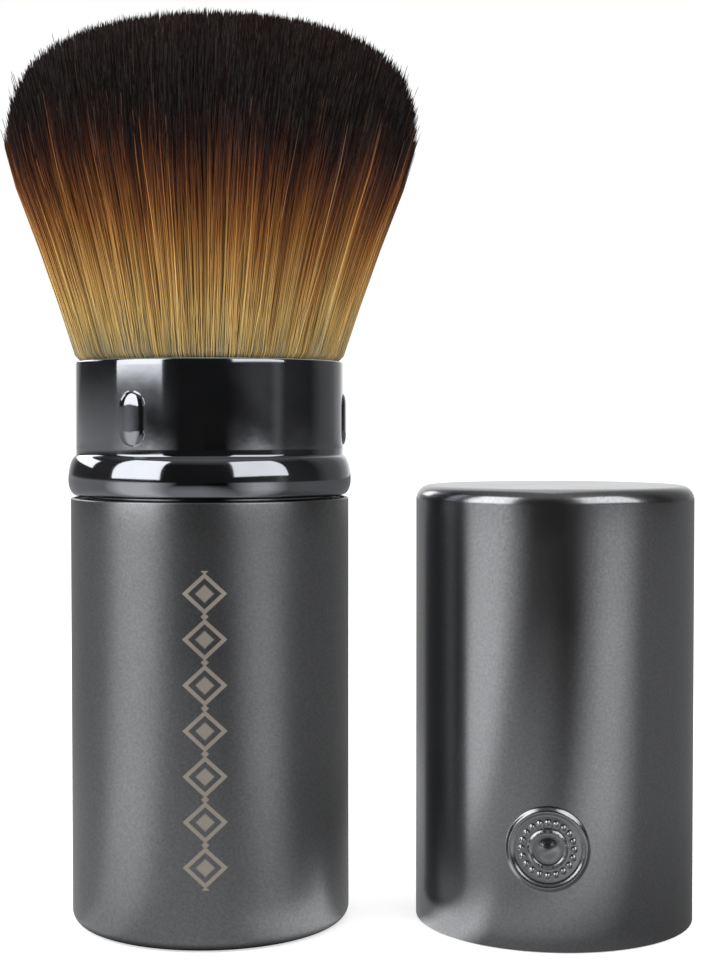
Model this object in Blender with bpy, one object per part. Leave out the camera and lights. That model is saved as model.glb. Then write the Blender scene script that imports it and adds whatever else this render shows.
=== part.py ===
"""Retractable face brush with its cap standing beside it, as separate pieces at real size.

Metres, +Z up. The origin is the centre of the can's flat bottom, and the brush stands on it. The front of the
brush faces -Y, and the cap stands on its open mouth at +X. The brush is shown open: the sleeve is all the way
down in the can and the bristles stand out of the collar. Raising the sleeve gathers the bristles in its tube.
"""

import math
import random

import bmesh
import bpy
from mathutils import Matrix, Vector

# Clearances shared by all pieces
SEAT_GAP = 0.0003
FIT_GAP = 0.00015
SLIDE_GAP = 0.0002
OVERRUN = 0.001

# Can: drawn aluminium, closed at the bottom
CAN_RADIUS = 0.0175
CAN_HEIGHT = 0.0533
CAN_WALL = 0.0005
CAN_FLOOR = 0.0008
CAN_EDGE_RADIUS = 0.0015
CAN_RIM_CHAMFER = 0.0002

# Guide liner: moulded tube bonded in the can, with an inward lip at its mouth and keyways in its bore
LINER_WALL = 0.00085
LINER_TOP_DROP = 0.0002
LINER_LIP_HEIGHT = 0.0024
LINER_LEAD_IN = 0.0003
KEY_COUNT = 3
KEY_WIDTH = 0.0026
KEY_REACH = 0.0003
KEY_TURN_DEG = 62.1

# Weight: steel disc under the post, recessed below for the screw's head
WEIGHT_THICKNESS = 0.0029
WEIGHT_SIDE_GAP = 0.0006
WEIGHT_CHAMFER = 0.0004
WEIGHT_RECESS_DEPTH = 0.0019

# Screw: holds the weight and the post together from below
SCREW_HEAD_RADIUS = 0.0029
SCREW_HEAD_HEIGHT = 0.0015
SCREW_SHANK_RADIUS = 0.0013
SCREW_LENGTH = 0.0115
SCREW_TIP_LENGTH = 0.0012
SCREW_SLOT_WIDTH = 0.0007
SCREW_SLOT_LENGTH = 0.0036
SCREW_SLOT_DEPTH = 0.0008

# Post: ribbed moulding from the flange that the liner's foot holds down up to the ferrule
POST_FLANGE_THICKNESS = 0.0015
POST_CORE_RADIUS = 0.0042
POST_RIB_COUNT = 6
POST_RIB_THICKNESS = 0.0014
POST_RIB_GAP = 0.0009
POST_SHOULDER_THICKNESS = 0.0012
POST_SPIGOT_HEIGHT = 0.0038
POST_SPIGOT_CHAMFER = 0.0005

# Sliding tube: drawn aluminium, its foot rolled outward under the slider ring
TUBE_WALL = 0.0005
TUBE_FOOT_THICKNESS = 0.0005
TUBE_FLOOR_GAP = 0.0006
TUBE_REACH = 0.0041

# Slider ring: moulded stop ring round the tube's foot, with keys and spring fingers
SLIDER_WALL = 0.00045
SLIDER_HEIGHT = 0.0036
SLIDER_SLIT_WIDTH = 0.0006
SLIDER_SLIT_DEPTH = 0.0022
SLIDER_SLITS_PER_KEY = 2

# Collar: drawn and polished shell with a rolled bead at its foot and raised pips that grip the cap
COLLAR_WALL = 0.0005
COLLAR_HEIGHT = 0.0167
COLLAR_RIM_CHAMFER = 0.00015
SEAM_GAP = 0.0003
BEAD_HEIGHT = 0.005
BEAD_PROUD = 0.001
BEAD_INSET = 0.00005
BEAD_MIDDLE_SHARE = 0.38
BEAD_UNDERCUT_SHARE = 0.86
BEAD_FILLET_DEG = 77
BEAD_ARC_STEPS = 6
FILLET_ARC_STEPS = 2
PIP_COUNT = 3
PIP_TURN_DEG = 2.1
PIP_WIDTH = 0.0035
PIP_LENGTH = 0.0064
PIP_PROUD = 0.0004
PIP_BELOW_RIM = 0.0072
PIP_ARC_STEPS = 3

# Collar insert: moulded ring that fills the bead and carries the tube
INSERT_WALL = 0.0008
INSERT_RISE = 0.0014

# Ferrule: aluminium ring that grips the bristles, with two rolled grooves
FERRULE_SIDE_GAP = 0.0003
FERRULE_WALL = 0.0005
FERRULE_HEIGHT = 0.0115
FERRULE_BELOW_RIM = 0.0074
FERRULE_GROOVE_DEPTH = 0.00035
FERRULE_GROOVE_WIDTH = 0.0012
FERRULE_GROOVE_HEIGHT_SHARES = (0.5, 0.72)

# Glue plug: cast resin that holds the bristles' roots
PLUG_SLICE_GAP = 0.0003
BACKING_THICKNESS = 0.001
BACKING_BELOW_FERRULE_TOP = 0.0008

# Bristles: fanned strands whose tips lie on a dome
STRAND_COUNT = 312
STRAND_SIDES = 3
STRAND_ROOT_RADIUS = 0.00045
STRAND_MOUTH_RADIUS = 0.00053
STRAND_BELLY_RADIUS = 0.0008
STRAND_TIP_RADIUS = 0.0003
STRAND_ROOT_DEPTH = 0.0005
STRAND_MARGIN = 0.00015
STRAND_TIP_LEAST = 0.001
STRAND_TIP_VARIATION = 0.0004
STRAND_SEED = 5
HEAD_RADIUS = 0.0255
HEAD_BELLY_HEIGHT = 0.0255
HEAD_DOME_HEIGHT = 0.0162
HEAD_DOME_FULLNESS = 3.0

# Cap: drawn aluminium, closed at the top, the can's own diameter
CAP_HEIGHT = 0.0548
CAP_WALL = 0.0005
CAP_TOP = 0.0008
CAP_EDGE_RADIUS = 0.0018
CAP_RIM_CHAMFER = 0.0002
CAP_HEAD_CLEARANCE = 0.0006
CAP_BACK = 0.0011

# Cap liner: moulded sleeve in the cap, above the collar's seat
CAP_LINER_WALL = 0.0006
CAP_LINER_CLEARANCE = 0.001
CAP_LINER_LEAD_IN = 0.0003

# Facets
ROUND_STEPS = 48
HIDDEN_STEPS = 36
SCREW_STEPS = 20
EDGE_ARC_STEPS = 3
SHARP_ANGLE_DEG = 30
MERGE_DISTANCE = 0.000001

# Radii that follow from the can inward
can_bore = CAN_RADIUS - CAN_WALL
liner_outer = can_bore - FIT_GAP
liner_bore = liner_outer - LINER_WALL
slider_outer = liner_bore - SLIDE_GAP
slider_bore = slider_outer - SLIDER_WALL
tube_outer = slider_bore - FIT_GAP
tube_bore = tube_outer - TUBE_WALL
liner_lip_bore = tube_outer + SLIDE_GAP
key_outer = liner_bore + KEY_REACH
keyway_outer = key_outer + FIT_GAP
ferrule_outer = tube_bore - FERRULE_SIDE_GAP
ferrule_bore = ferrule_outer - FERRULE_WALL
insert_outer = tube_outer + FIT_GAP + INSERT_WALL
collar_bore = insert_outer + FIT_GAP
collar_radius = collar_bore + COLLAR_WALL
backing_radius = ferrule_bore - FERRULE_GROOVE_DEPTH - FIT_GAP
screw_bore = SCREW_SHANK_RADIUS + FIT_GAP
strand_root_reach = backing_radius - STRAND_ROOT_RADIUS - STRAND_MARGIN
strand_mouth_reach = collar_bore - STRAND_MOUTH_RADIUS - STRAND_MARGIN
strand_belly_reach = HEAD_RADIUS - STRAND_BELLY_RADIUS

# Heights that follow from the can's floor and rim
weight_bottom = CAN_FLOOR + SEAT_GAP
flange_bottom = weight_bottom + WEIGHT_THICKNESS + SEAT_GAP
flange_top = flange_bottom + POST_FLANGE_THICKNESS
liner_bottom = flange_top + SEAT_GAP
liner_top = CAN_HEIGHT - LINER_TOP_DROP
liner_lip_bottom = liner_top - LINER_LIP_HEIGHT
collar_bottom = CAN_HEIGHT + SEAM_GAP
collar_rim = collar_bottom + COLLAR_HEIGHT
tube_bottom = flange_top + TUBE_FLOOR_GAP
tube_top = collar_bottom + TUBE_REACH
slider_bottom = tube_bottom + TUBE_FOOT_THICKNESS + FIT_GAP
ferrule_top = collar_rim - FERRULE_BELOW_RIM
ferrule_bottom = ferrule_top - FERRULE_HEIGHT
shoulder_top = ferrule_bottom - SEAT_GAP
spigot_top = shoulder_top + POST_SPIGOT_HEIGHT
backing_top = ferrule_top - BACKING_BELOW_FERRULE_TOP
backing_bottom = backing_top - BACKING_THICKNESS
plug_bottom = spigot_top + SEAT_GAP
plug_top = backing_bottom - PLUG_SLICE_GAP
screw_seat = weight_bottom + WEIGHT_RECESS_DEPTH - FIT_GAP
belly_height = collar_rim - backing_top + HEAD_BELLY_HEIGHT
cap_place = Vector((HEAD_RADIUS + CAP_HEAD_CLEARANCE + CAN_RADIUS, CAP_BACK, 0))
cap_bore = CAN_RADIUS - CAP_WALL


def start_empty():
    """Removes whatever the scene holds."""
    for old in list(bpy.data.objects):
        bpy.data.objects.remove(old)


def make_finish(name, colour, roughness, metallic):
    """A Principled material with the piece's colour, roughness and metallic value."""
    material = bpy.data.materials.new(name)
    material.use_nodes = True
    shader = material.node_tree.nodes["Principled BSDF"]
    shader.inputs["Base Color"].default_value = (*colour, 1)
    shader.inputs["Roughness"].default_value = roughness
    shader.inputs["Metallic"].default_value = metallic
    material.diffuse_color = (*colour, 1)
    return material


def make_group(name, place):
    """An empty that carries the pieces that move together."""
    empty = bpy.data.objects.new(name, None)
    empty.location = place
    bpy.context.scene.collection.objects.link(empty)
    return empty


def finish_piece(name, mesh_builder, material=None):
    """Turns a bmesh into a smooth-shaded object with outward faces."""
    bmesh.ops.recalc_face_normals(mesh_builder, faces=mesh_builder.faces)
    mesh = bpy.data.meshes.new(name)
    mesh_builder.to_mesh(mesh)
    mesh_builder.free()
    mesh.shade_smooth()
    mesh.set_sharp_from_angle(angle=math.radians(SHARP_ANGLE_DEG))
    piece = bpy.data.objects.new(name, mesh)
    bpy.context.scene.collection.objects.link(piece)
    if material:
        mesh.materials.append(material)
    return piece


def place_piece(piece, group, height):
    """Puts a piece in its group, with its own origin on the group's axis at this height."""
    piece.parent = group
    piece.location = (0, 0, height)
    return piece


def cut_or_join(piece, tool, operation):
    """Adds an exact Boolean, and hides the tool, which goes wherever the piece goes."""
    tool.parent = piece
    tool.hide_render = True
    tool.display_type = "WIRE"
    boolean = piece.modifiers.new(tool.name, "BOOLEAN")
    boolean.operation = operation
    boolean.solver = "EXACT"
    boolean.object = tool
    return piece


def arc(centre, radius, start_deg, end_deg, steps):
    """Points of a round stretch in the profile plane, both ends included."""
    points = []
    for step in range(steps + 1):
        angle = math.radians(start_deg + (end_deg - start_deg) * step / steps)
        points.append((centre[0] + radius * math.cos(angle), centre[1] + radius * math.sin(angle)))
    return points


def turn(name, profile, material=None, steps=ROUND_STEPS):
    """Turns a profile of (radius, height) points round the Z axis into a closed solid.

    The profile either starts and ends on the axis or is a loop that closes itself.
    """
    builder = bmesh.new()
    points = [builder.verts.new((radius, 0, height)) for radius, height in profile]
    runs = list(zip(points, points[1:]))
    if profile[0][0] > 0:
        runs.append((points[-1], points[0]))
    edges = [builder.edges.new(run) for run in runs]
    bmesh.ops.spin(
        builder,
        geom=points + edges,
        cent=(0, 0, 0),
        axis=(0, 0, 1),
        angle=math.tau,
        steps=steps,
        use_merge=True,
    )
    bmesh.ops.remove_doubles(builder, verts=builder.verts, dist=MERGE_DISTANCE)
    return finish_piece(name, builder, material)


def add_block(builder, low, high, turn_deg):
    """Adds a box between two corners, turned round the Z axis."""
    size = [top - bottom for bottom, top in zip(low, high)]
    middle = [(top + bottom) / 2 for bottom, top in zip(low, high)]
    spin = Matrix.Rotation(math.radians(turn_deg), 4, "Z")
    matrix = spin @ Matrix.Translation(middle) @ Matrix.Diagonal((*size, 1))
    bmesh.ops.create_cube(builder, size=1, matrix=matrix)


def radial_blocks(name, count, turn_deg, inner, outer, width, bottom, top):
    """Equal boxes that stand out from the axis like spokes, joined into one tool."""
    builder = bmesh.new()
    for index in range(count):
        turned = turn_deg + 360 * index / count
        add_block(builder, (inner, -width / 2, bottom), (outer, width / 2, top), turned)
    return finish_piece(name, builder)


def make_can(group, material):
    """Drawn can: rounded bottom edge, plain mouth with a broken edge."""
    inner_radius = max(CAN_EDGE_RADIUS - CAN_WALL, 0)
    outer_middle = (CAN_RADIUS - CAN_EDGE_RADIUS, CAN_EDGE_RADIUS)
    inner_middle = (can_bore - inner_radius, CAN_FLOOR + inner_radius)
    outer_corner = arc(outer_middle, CAN_EDGE_RADIUS, -90, 0, EDGE_ARC_STEPS)
    inner_corner = arc(inner_middle, inner_radius, 0, -90, EDGE_ARC_STEPS)
    profile = [
        (0, 0),
        *outer_corner,
        (CAN_RADIUS, CAN_HEIGHT - CAN_RIM_CHAMFER),
        (CAN_RADIUS - CAN_RIM_CHAMFER, CAN_HEIGHT),
        (can_bore, CAN_HEIGHT),
        *inner_corner,
        (0, CAN_FLOOR),
    ]
    return place_piece(turn("base_can", profile, material), group, 0)


def make_guide_liner(group, material):
    """Guide tube: its lip keeps the slider ring in, and its keyways stop the sleeve from turning."""
    lip_bottom = liner_lip_bottom - liner_bottom
    top = liner_top - liner_bottom
    profile = [
        (liner_bore, 0),
        (liner_outer, 0),
        (liner_outer, top),
        (liner_lip_bore + LINER_LEAD_IN, top),
        (liner_lip_bore, top - LINER_LEAD_IN),
        (liner_lip_bore, lip_bottom),
        (liner_bore, lip_bottom),
    ]
    liner = turn("guide_liner", profile, material, steps=HIDDEN_STEPS)
    keyways = radial_blocks(
        "keyway_cutters",
        KEY_COUNT,
        KEY_TURN_DEG,
        liner_bore - OVERRUN,
        keyway_outer,
        KEY_WIDTH + 2 * FIT_GAP,
        -OVERRUN,
        lip_bottom,
    )
    cut_or_join(liner, keyways, "DIFFERENCE")
    return place_piece(liner, group, liner_bottom)


def make_weight(group, material):
    """Steel disc with broken edges, a through hole and a recess below for the screw's head."""
    outer = can_bore - WEIGHT_SIDE_GAP
    recess = SCREW_HEAD_RADIUS + SEAT_GAP
    profile = [
        (recess, 0),
        (outer - WEIGHT_CHAMFER, 0),
        (outer, WEIGHT_CHAMFER),
        (outer, WEIGHT_THICKNESS - WEIGHT_CHAMFER),
        (outer - WEIGHT_CHAMFER, WEIGHT_THICKNESS),
        (screw_bore, WEIGHT_THICKNESS),
        (screw_bore, WEIGHT_RECESS_DEPTH),
        (recess, WEIGHT_RECESS_DEPTH),
    ]
    return place_piece(turn("base_weight", profile, material, steps=HIDDEN_STEPS), group, weight_bottom)


def make_screw(group, material):
    """Domed-head screw with a crossed slot. Its origin is the face under the head, and the head is below."""
    dome = SCREW_HEAD_HEIGHT / 2
    profile = [
        (0, -SCREW_HEAD_HEIGHT),
        (SCREW_HEAD_RADIUS - dome, -SCREW_HEAD_HEIGHT),
        (SCREW_HEAD_RADIUS, -dome),
        (SCREW_HEAD_RADIUS, 0),
        (SCREW_SHANK_RADIUS, 0),
        (SCREW_SHANK_RADIUS, SCREW_LENGTH - SCREW_TIP_LENGTH),
        (0, SCREW_LENGTH),
    ]
    screw = turn("post_screw", profile, material, steps=SCREW_STEPS)
    builder = bmesh.new()
    half_length = SCREW_SLOT_LENGTH / 2
    half_width = SCREW_SLOT_WIDTH / 2
    low = (-half_length, -half_width, -SCREW_HEAD_HEIGHT - OVERRUN)
    high = (half_length, half_width, -SCREW_HEAD_HEIGHT + SCREW_SLOT_DEPTH)
    for turned in (0, 90):
        add_block(builder, low, high, turned)
    cut_or_join(screw, finish_piece("screw_slot_cutter", builder), "DIFFERENCE")
    for boolean in screw.modifiers:
        boolean.use_self = True
    return place_piece(screw, group, screw_seat)


def ribbed_outline(core, tip, thickness, count):
    """Outline of a core with straight radial ribs, as points round the axis."""
    half = thickness / 2
    root = math.sqrt(core**2 - half**2)
    end = math.sqrt(tip**2 - half**2)
    points = []
    for index in range(count):
        turned = Matrix.Rotation(math.tau * index / count, 3, "Z")
        for corner in ((root, -half), (end, -half), (end, half), (root, half)):
            points.append(turned @ Vector((*corner, 0)))
    return points


def make_post(group, material):
    """Moulded post: flange under the liner, ribbed column, shoulder and the ferrule's spigot."""
    column_top = shoulder_top - POST_SHOULDER_THICKNESS - flange_bottom
    shoulder = shoulder_top - flange_bottom
    spigot = spigot_top - flange_bottom
    spigot_radius = ferrule_bore - FIT_GAP
    hole_top = SCREW_LENGTH + SEAT_GAP - (flange_bottom - screw_seat)
    foot_profile = [
        (screw_bore, 0),
        (liner_outer, 0),
        (liner_outer, POST_FLANGE_THICKNESS),
        (screw_bore, POST_FLANGE_THICKNESS),
    ]
    post = turn("brush_post", foot_profile, material, steps=HIDDEN_STEPS)

    builder = bmesh.new()
    rib_tip = ferrule_bore - POST_RIB_GAP
    outline = ribbed_outline(POST_CORE_RADIUS, rib_tip, POST_RIB_THICKNESS, POST_RIB_COUNT)
    foot = [builder.verts.new((point.x, point.y, POST_FLANGE_THICKNESS / 2)) for point in outline]
    face = builder.faces.new(foot)
    grown = bmesh.ops.extrude_face_region(builder, geom=[face])["geom"]
    rise = column_top - POST_FLANGE_THICKNESS / 2 + POST_SHOULDER_THICKNESS / 2
    risen = [item for item in grown if isinstance(item, bmesh.types.BMVert)]
    bmesh.ops.translate(builder, verts=risen, vec=(0, 0, rise))
    cut_or_join(post, finish_piece("post_column_tool", builder), "UNION")

    head_profile = [
        (0, column_top),
        (ferrule_outer, column_top),
        (ferrule_outer, shoulder),
        (spigot_radius, shoulder),
        (spigot_radius, spigot - POST_SPIGOT_CHAMFER),
        (spigot_radius - POST_SPIGOT_CHAMFER, spigot),
        (0, spigot),
    ]
    cut_or_join(post, turn("post_head_tool", head_profile, steps=HIDDEN_STEPS), "UNION")
    hole_profile = [(0, -OVERRUN), (screw_bore, -OVERRUN), (screw_bore, hole_top), (0, hole_top)]
    hole = turn("post_hole_cutter", hole_profile, steps=SCREW_STEPS)
    cut_or_join(post, hole, "DIFFERENCE")
    return place_piece(post, group, flange_bottom)


def groove_points(radius, depth, offset):
    """The two rolled grooves on a wall of this radius, from the lowest up, as profile points."""
    points = []
    for share in FERRULE_GROOVE_HEIGHT_SHARES:
        middle = FERRULE_HEIGHT * share
        half = FERRULE_GROOVE_WIDTH / 2 - offset
        points += [(radius, middle - half), (radius - depth, middle), (radius, middle + half)]
    return points


def make_ferrule(group, material):
    """Ferrule ring: plain foot over the post's spigot, then two grooves that bite into the glued roots."""
    profile = [
        (ferrule_bore, 0),
        (ferrule_outer, 0),
        *groove_points(ferrule_outer, FERRULE_GROOVE_DEPTH, 0),
        (ferrule_outer, FERRULE_HEIGHT),
        (ferrule_bore, FERRULE_HEIGHT),
        *reversed(groove_points(ferrule_bore, FERRULE_GROOVE_DEPTH, 0)),
    ]
    return place_piece(turn("ferrule", profile, material, steps=HIDDEN_STEPS), group, ferrule_bottom)


def make_glue_plug(group, material):
    """Resin plug: fills the ferrule between the spigot and the bristles, and keys into its grooves."""
    wall = ferrule_bore - FIT_GAP
    low = plug_bottom - ferrule_bottom
    high = plug_top - ferrule_bottom
    inside = [point for point in groove_points(wall, FERRULE_GROOVE_DEPTH, -FIT_GAP) if low < point[1] < high]
    profile = [(0, low), (wall, low), *inside, (wall, high), (0, high)]
    return place_piece(turn("glue_plug", profile, material, steps=HIDDEN_STEPS), group, ferrule_bottom)


def dome_rise(share):
    """Height of the dome above the belly, at a share of the head's radius: a rounded oblong section."""
    fall = share**HEAD_DOME_FULLNESS
    return HEAD_DOME_HEIGHT * (1 - fall) ** (1 / HEAD_DOME_FULLNESS)


def add_strand(builder, share, bearing, twist, tip_change):
    """Adds one tapering strand as a closed prism: inside the backing, the mouth, the belly, the dome."""
    tip = belly_height + max(dome_rise(share) + tip_change, STRAND_TIP_LEAST)
    stations = [
        (-STRAND_ROOT_DEPTH, strand_root_reach, STRAND_ROOT_RADIUS),
        (collar_rim - backing_top, strand_mouth_reach, STRAND_MOUTH_RADIUS),
        (belly_height, strand_belly_reach, STRAND_BELLY_RADIUS),
        (tip, strand_belly_reach, STRAND_TIP_RADIUS),
    ]
    outward = Vector((math.cos(bearing), math.sin(bearing), 0))
    rings = []
    for height, reach, radius in stations:
        centre = outward * share * reach + Vector((0, 0, height))
        ring = []
        for side in range(STRAND_SIDES):
            angle = twist + math.tau * side / STRAND_SIDES
            corner = Vector((math.cos(angle), math.sin(angle), 0)) * radius
            ring.append(builder.verts.new(centre + corner))
        rings.append(ring)
    builder.faces.new(reversed(rings[0]))
    for lower, upper in zip(rings, rings[1:]):
        for side in range(STRAND_SIDES):
            following = (side + 1) % STRAND_SIDES
            builder.faces.new((lower[side], lower[following], upper[following], upper[side]))
    builder.faces.new(rings[-1])


def make_bristles(group, material):
    """Bristles: strands on a sunflower spiral, so they are evenly spaced and fan out without crossing."""
    profile = [(0, -BACKING_THICKNESS), (backing_radius, -BACKING_THICKNESS), (backing_radius, 0), (0, 0)]
    backing = turn("bristles", profile, material, steps=HIDDEN_STEPS)
    chance = random.Random(STRAND_SEED)
    golden_angle = math.pi * (3 - math.sqrt(5))
    builder = bmesh.new()
    for index in range(STRAND_COUNT):
        share = math.sqrt((index + 0.5) / STRAND_COUNT)
        twist = chance.uniform(0, math.tau)
        change = chance.uniform(-STRAND_TIP_VARIATION, STRAND_TIP_VARIATION)
        add_strand(builder, share, golden_angle * index, twist, change)
    cut_or_join(backing, finish_piece("strand_tool", builder), "UNION")
    return place_piece(backing, group, backing_top)


def bead_arc(shrink, start_deg, end_deg, steps):
    """Points of the bead's section, made smaller all round by shrink: half an oval that is fuller below."""
    centre_radius = collar_radius - BEAD_INSET
    half_depth = BEAD_PROUD + BEAD_INSET - shrink
    middle = BEAD_HEIGHT * BEAD_MIDDLE_SHARE
    above = BEAD_HEIGHT - middle - shrink
    below = middle - shrink
    points = []
    for radius, height in arc((0, 0), 1, start_deg, end_deg, steps):
        half_height = above if height > 0 else below
        points.append((centre_radius + half_depth * radius, middle + half_height * height))
    return points


def bead_fillet():
    """Points of the hollow fillet from the collar's wall into the bead, tangent to both."""
    lean = math.radians(BEAD_FILLET_DEG)
    foot_radius, foot_height = bead_arc(0, BEAD_FILLET_DEG, 0, 1)[0]
    rise = BEAD_HEIGHT * (1 - BEAD_MIDDLE_SHARE)
    slope = math.atan2(rise * math.cos(lean), (BEAD_PROUD + BEAD_INSET) * math.sin(lean))
    sweep = math.pi / 2 - slope
    radius = (foot_radius - collar_radius) / (1 - math.cos(sweep))
    centre = (collar_radius + radius, foot_height + radius * math.sin(sweep))
    return arc(centre, radius, 180, 180 + math.degrees(sweep), FILLET_ARC_STEPS)


def half_capsule(name, radial_foot, radial_top, width, length, height, material=None):
    """Raised pip on the +X side: an upright oblong dome whose flat back stands at radial_foot."""
    builder = bmesh.new()
    half_width = width / 2
    half_straight = (length - width) / 2
    layers = []
    for level in range(PIP_ARC_STEPS):
        lift = math.radians(90 * level / PIP_ARC_STEPS)
        reach = radial_foot + (radial_top - radial_foot) * math.sin(lift)
        layer_radius = half_width * math.cos(lift)
        layer = []
        for side, start in ((1, 0), (-1, 180)):
            for y, z in arc((0, 0), layer_radius, start, start + 180, 2 * PIP_ARC_STEPS):
                layer.append(builder.verts.new((reach, y, height + z + side * half_straight)))
        layers.append(layer)
    count = len(layers[0])
    builder.faces.new(layers[0])
    for lower, upper in zip(layers, layers[1:]):
        for index in range(count):
            following = (index + 1) % count
            builder.faces.new((lower[index], lower[following], upper[following], upper[index]))
    crest = [
        builder.verts.new((radial_top, 0, height + half_straight)),
        builder.verts.new((radial_top, 0, height - half_straight)),
    ]
    last = layers[-1]
    half = count // 2
    for index in range(half - 1):
        builder.faces.new((last[index], last[index + 1], crest[0]))
        builder.faces.new((last[half + index], last[half + index + 1], crest[1]))
    builder.faces.new((last[half - 1], last[half], crest[1], crest[0]))
    builder.faces.new((last[-1], last[0], crest[0], crest[1]))
    return finish_piece(name, builder, material)


def make_collar(group, material):
    """Collar shell: rolled bead tucked under at its foot, thin rim, and pips pushed out from inside."""
    under_bore = tube_outer + SLIDE_GAP
    outer_bead = bead_arc(0, BEAD_FILLET_DEG, -90 * BEAD_UNDERCUT_SHARE, BEAD_ARC_STEPS)
    inner_bead = bead_arc(COLLAR_WALL, -90, 90, BEAD_ARC_STEPS - 1)
    profile = [
        (collar_bore, COLLAR_HEIGHT),
        (collar_radius - COLLAR_RIM_CHAMFER, COLLAR_HEIGHT),
        (collar_radius, COLLAR_HEIGHT - COLLAR_RIM_CHAMFER),
        *bead_fillet(),
        *outer_bead[1:],
        (outer_bead[-1][0] - COLLAR_WALL, 0),
        (under_bore, 0),
        (under_bore, COLLAR_WALL),
        *inner_bead,
        (collar_bore, BEAD_HEIGHT),
    ]
    collar = turn("collar", profile, material)
    middle = COLLAR_HEIGHT - PIP_BELOW_RIM
    half_wall = collar_bore + COLLAR_WALL / 2
    for index in range(PIP_COUNT):
        turned = math.radians(PIP_TURN_DEG + 360 * index / PIP_COUNT)
        pip = half_capsule(
            f"pip_tool_{index + 1}", half_wall, collar_radius + PIP_PROUD, PIP_WIDTH, PIP_LENGTH, middle
        )
        pip.rotation_euler.z = turned
        cut_or_join(collar, pip, "UNION")
        dimple = half_capsule(
            f"dimple_cutter_{index + 1}",
            collar_bore - OVERRUN,
            collar_radius + PIP_PROUD - COLLAR_WALL,
            PIP_WIDTH - COLLAR_WALL,
            PIP_LENGTH - COLLAR_WALL,
            middle,
        )
        dimple.rotation_euler.z = turned
        cut_or_join(collar, dimple, "DIFFERENCE")
    return place_piece(collar, group, 0)


def make_collar_insert(group, material):
    """Insert ring: fills the bead from inside and closes over the tube's top end."""
    bottom = COLLAR_WALL + FIT_GAP
    bore = tube_outer + FIT_GAP
    step = TUBE_REACH + FIT_GAP
    top = BEAD_HEIGHT + INSERT_RISE
    bead = bead_arc(COLLAR_WALL + FIT_GAP, -90, 90, BEAD_ARC_STEPS - 1)
    profile = [
        (bore, bottom),
        *bead,
        (insert_outer, BEAD_HEIGHT),
        (insert_outer, top),
        (tube_bore + FIT_GAP, top),
        (tube_bore + FIT_GAP, step),
        (bore, step),
    ]
    return place_piece(turn("collar_insert", profile, material, steps=HIDDEN_STEPS), group, 0)


def make_slide_tube(group, material):
    """Sliding tube: plain bore for the bristles, foot rolled outward to carry the slider ring."""
    length = tube_top - tube_bottom
    foot_radius = slider_outer - FIT_GAP
    profile = [
        (tube_bore, 0),
        (foot_radius, 0),
        (foot_radius, TUBE_FOOT_THICKNESS),
        (tube_outer, TUBE_FOOT_THICKNESS),
        (tube_outer, length),
        (tube_bore, length),
    ]
    tube = turn("slide_tube", profile, material, steps=HIDDEN_STEPS)
    return place_piece(tube, group, tube_bottom - collar_bottom)


def make_slider_ring(group, material):
    """Stop ring: three keys in the liner's keyways, and slits that leave spring fingers for the drag."""
    profile = [
        (slider_bore, 0),
        (slider_outer, 0),
        (slider_outer, SLIDER_HEIGHT),
        (slider_bore, SLIDER_HEIGHT),
    ]
    ring = turn("slider_ring", profile, material, steps=HIDDEN_STEPS)
    mid_wall = slider_bore + SLIDER_WALL / 2
    key_top = SLIDER_HEIGHT - SLIDER_SLIT_WIDTH
    keys = radial_blocks(
        "key_tool", KEY_COUNT, KEY_TURN_DEG, mid_wall, key_outer, KEY_WIDTH, 0, key_top
    )
    cut_or_join(ring, keys, "UNION")
    slit_count = KEY_COUNT * SLIDER_SLITS_PER_KEY
    slit_turn = KEY_TURN_DEG + 180 / slit_count
    slits = radial_blocks(
        "slit_cutters",
        slit_count,
        slit_turn,
        slider_bore - OVERRUN,
        slider_outer + OVERRUN,
        SLIDER_SLIT_WIDTH,
        SLIDER_HEIGHT - SLIDER_SLIT_DEPTH,
        SLIDER_HEIGHT + OVERRUN,
    )
    cut_or_join(ring, slits, "DIFFERENCE")
    return place_piece(ring, group, slider_bottom - collar_bottom)


def make_cap_shell(group, material):
    """Cap shell: flat top with a rounded shoulder, open mouth with a broken edge."""
    inner_radius = max(CAP_EDGE_RADIUS - CAP_WALL, 0)
    ceiling = CAP_HEIGHT - CAP_TOP
    outer_middle = (CAN_RADIUS - CAP_EDGE_RADIUS, CAP_HEIGHT - CAP_EDGE_RADIUS)
    inner_middle = (cap_bore - inner_radius, ceiling - inner_radius)
    outer_corner = arc(outer_middle, CAP_EDGE_RADIUS, 90, 0, EDGE_ARC_STEPS + 1)
    inner_corner = arc(inner_middle, inner_radius, 0, 90, EDGE_ARC_STEPS)
    profile = [
        (0, CAP_HEIGHT),
        *outer_corner,
        (CAN_RADIUS, CAP_RIM_CHAMFER),
        (CAN_RADIUS - CAP_RIM_CHAMFER, 0),
        (cap_bore, 0),
        *inner_corner,
        (0, ceiling),
    ]
    return place_piece(turn("cap_shell", profile, material), group, 0)


def make_cap_liner(group, material):
    """Cap liner: smooth sleeve that keeps the gathered bristles off the metal."""
    outer = cap_bore - FIT_GAP
    bore = outer - CAP_LINER_WALL
    top = CAP_HEIGHT - CAP_EDGE_RADIUS - SEAT_GAP
    mouth = COLLAR_HEIGHT - BEAD_HEIGHT + CAP_LINER_CLEARANCE
    profile = [
        (bore, top),
        (outer, top),
        (outer, mouth),
        (bore + CAP_LINER_LEAD_IN, mouth),
        (bore, mouth + CAP_LINER_LEAD_IN),
    ]
    return place_piece(turn("cap_liner", profile, material, steps=HIDDEN_STEPS), group, 0)


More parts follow.
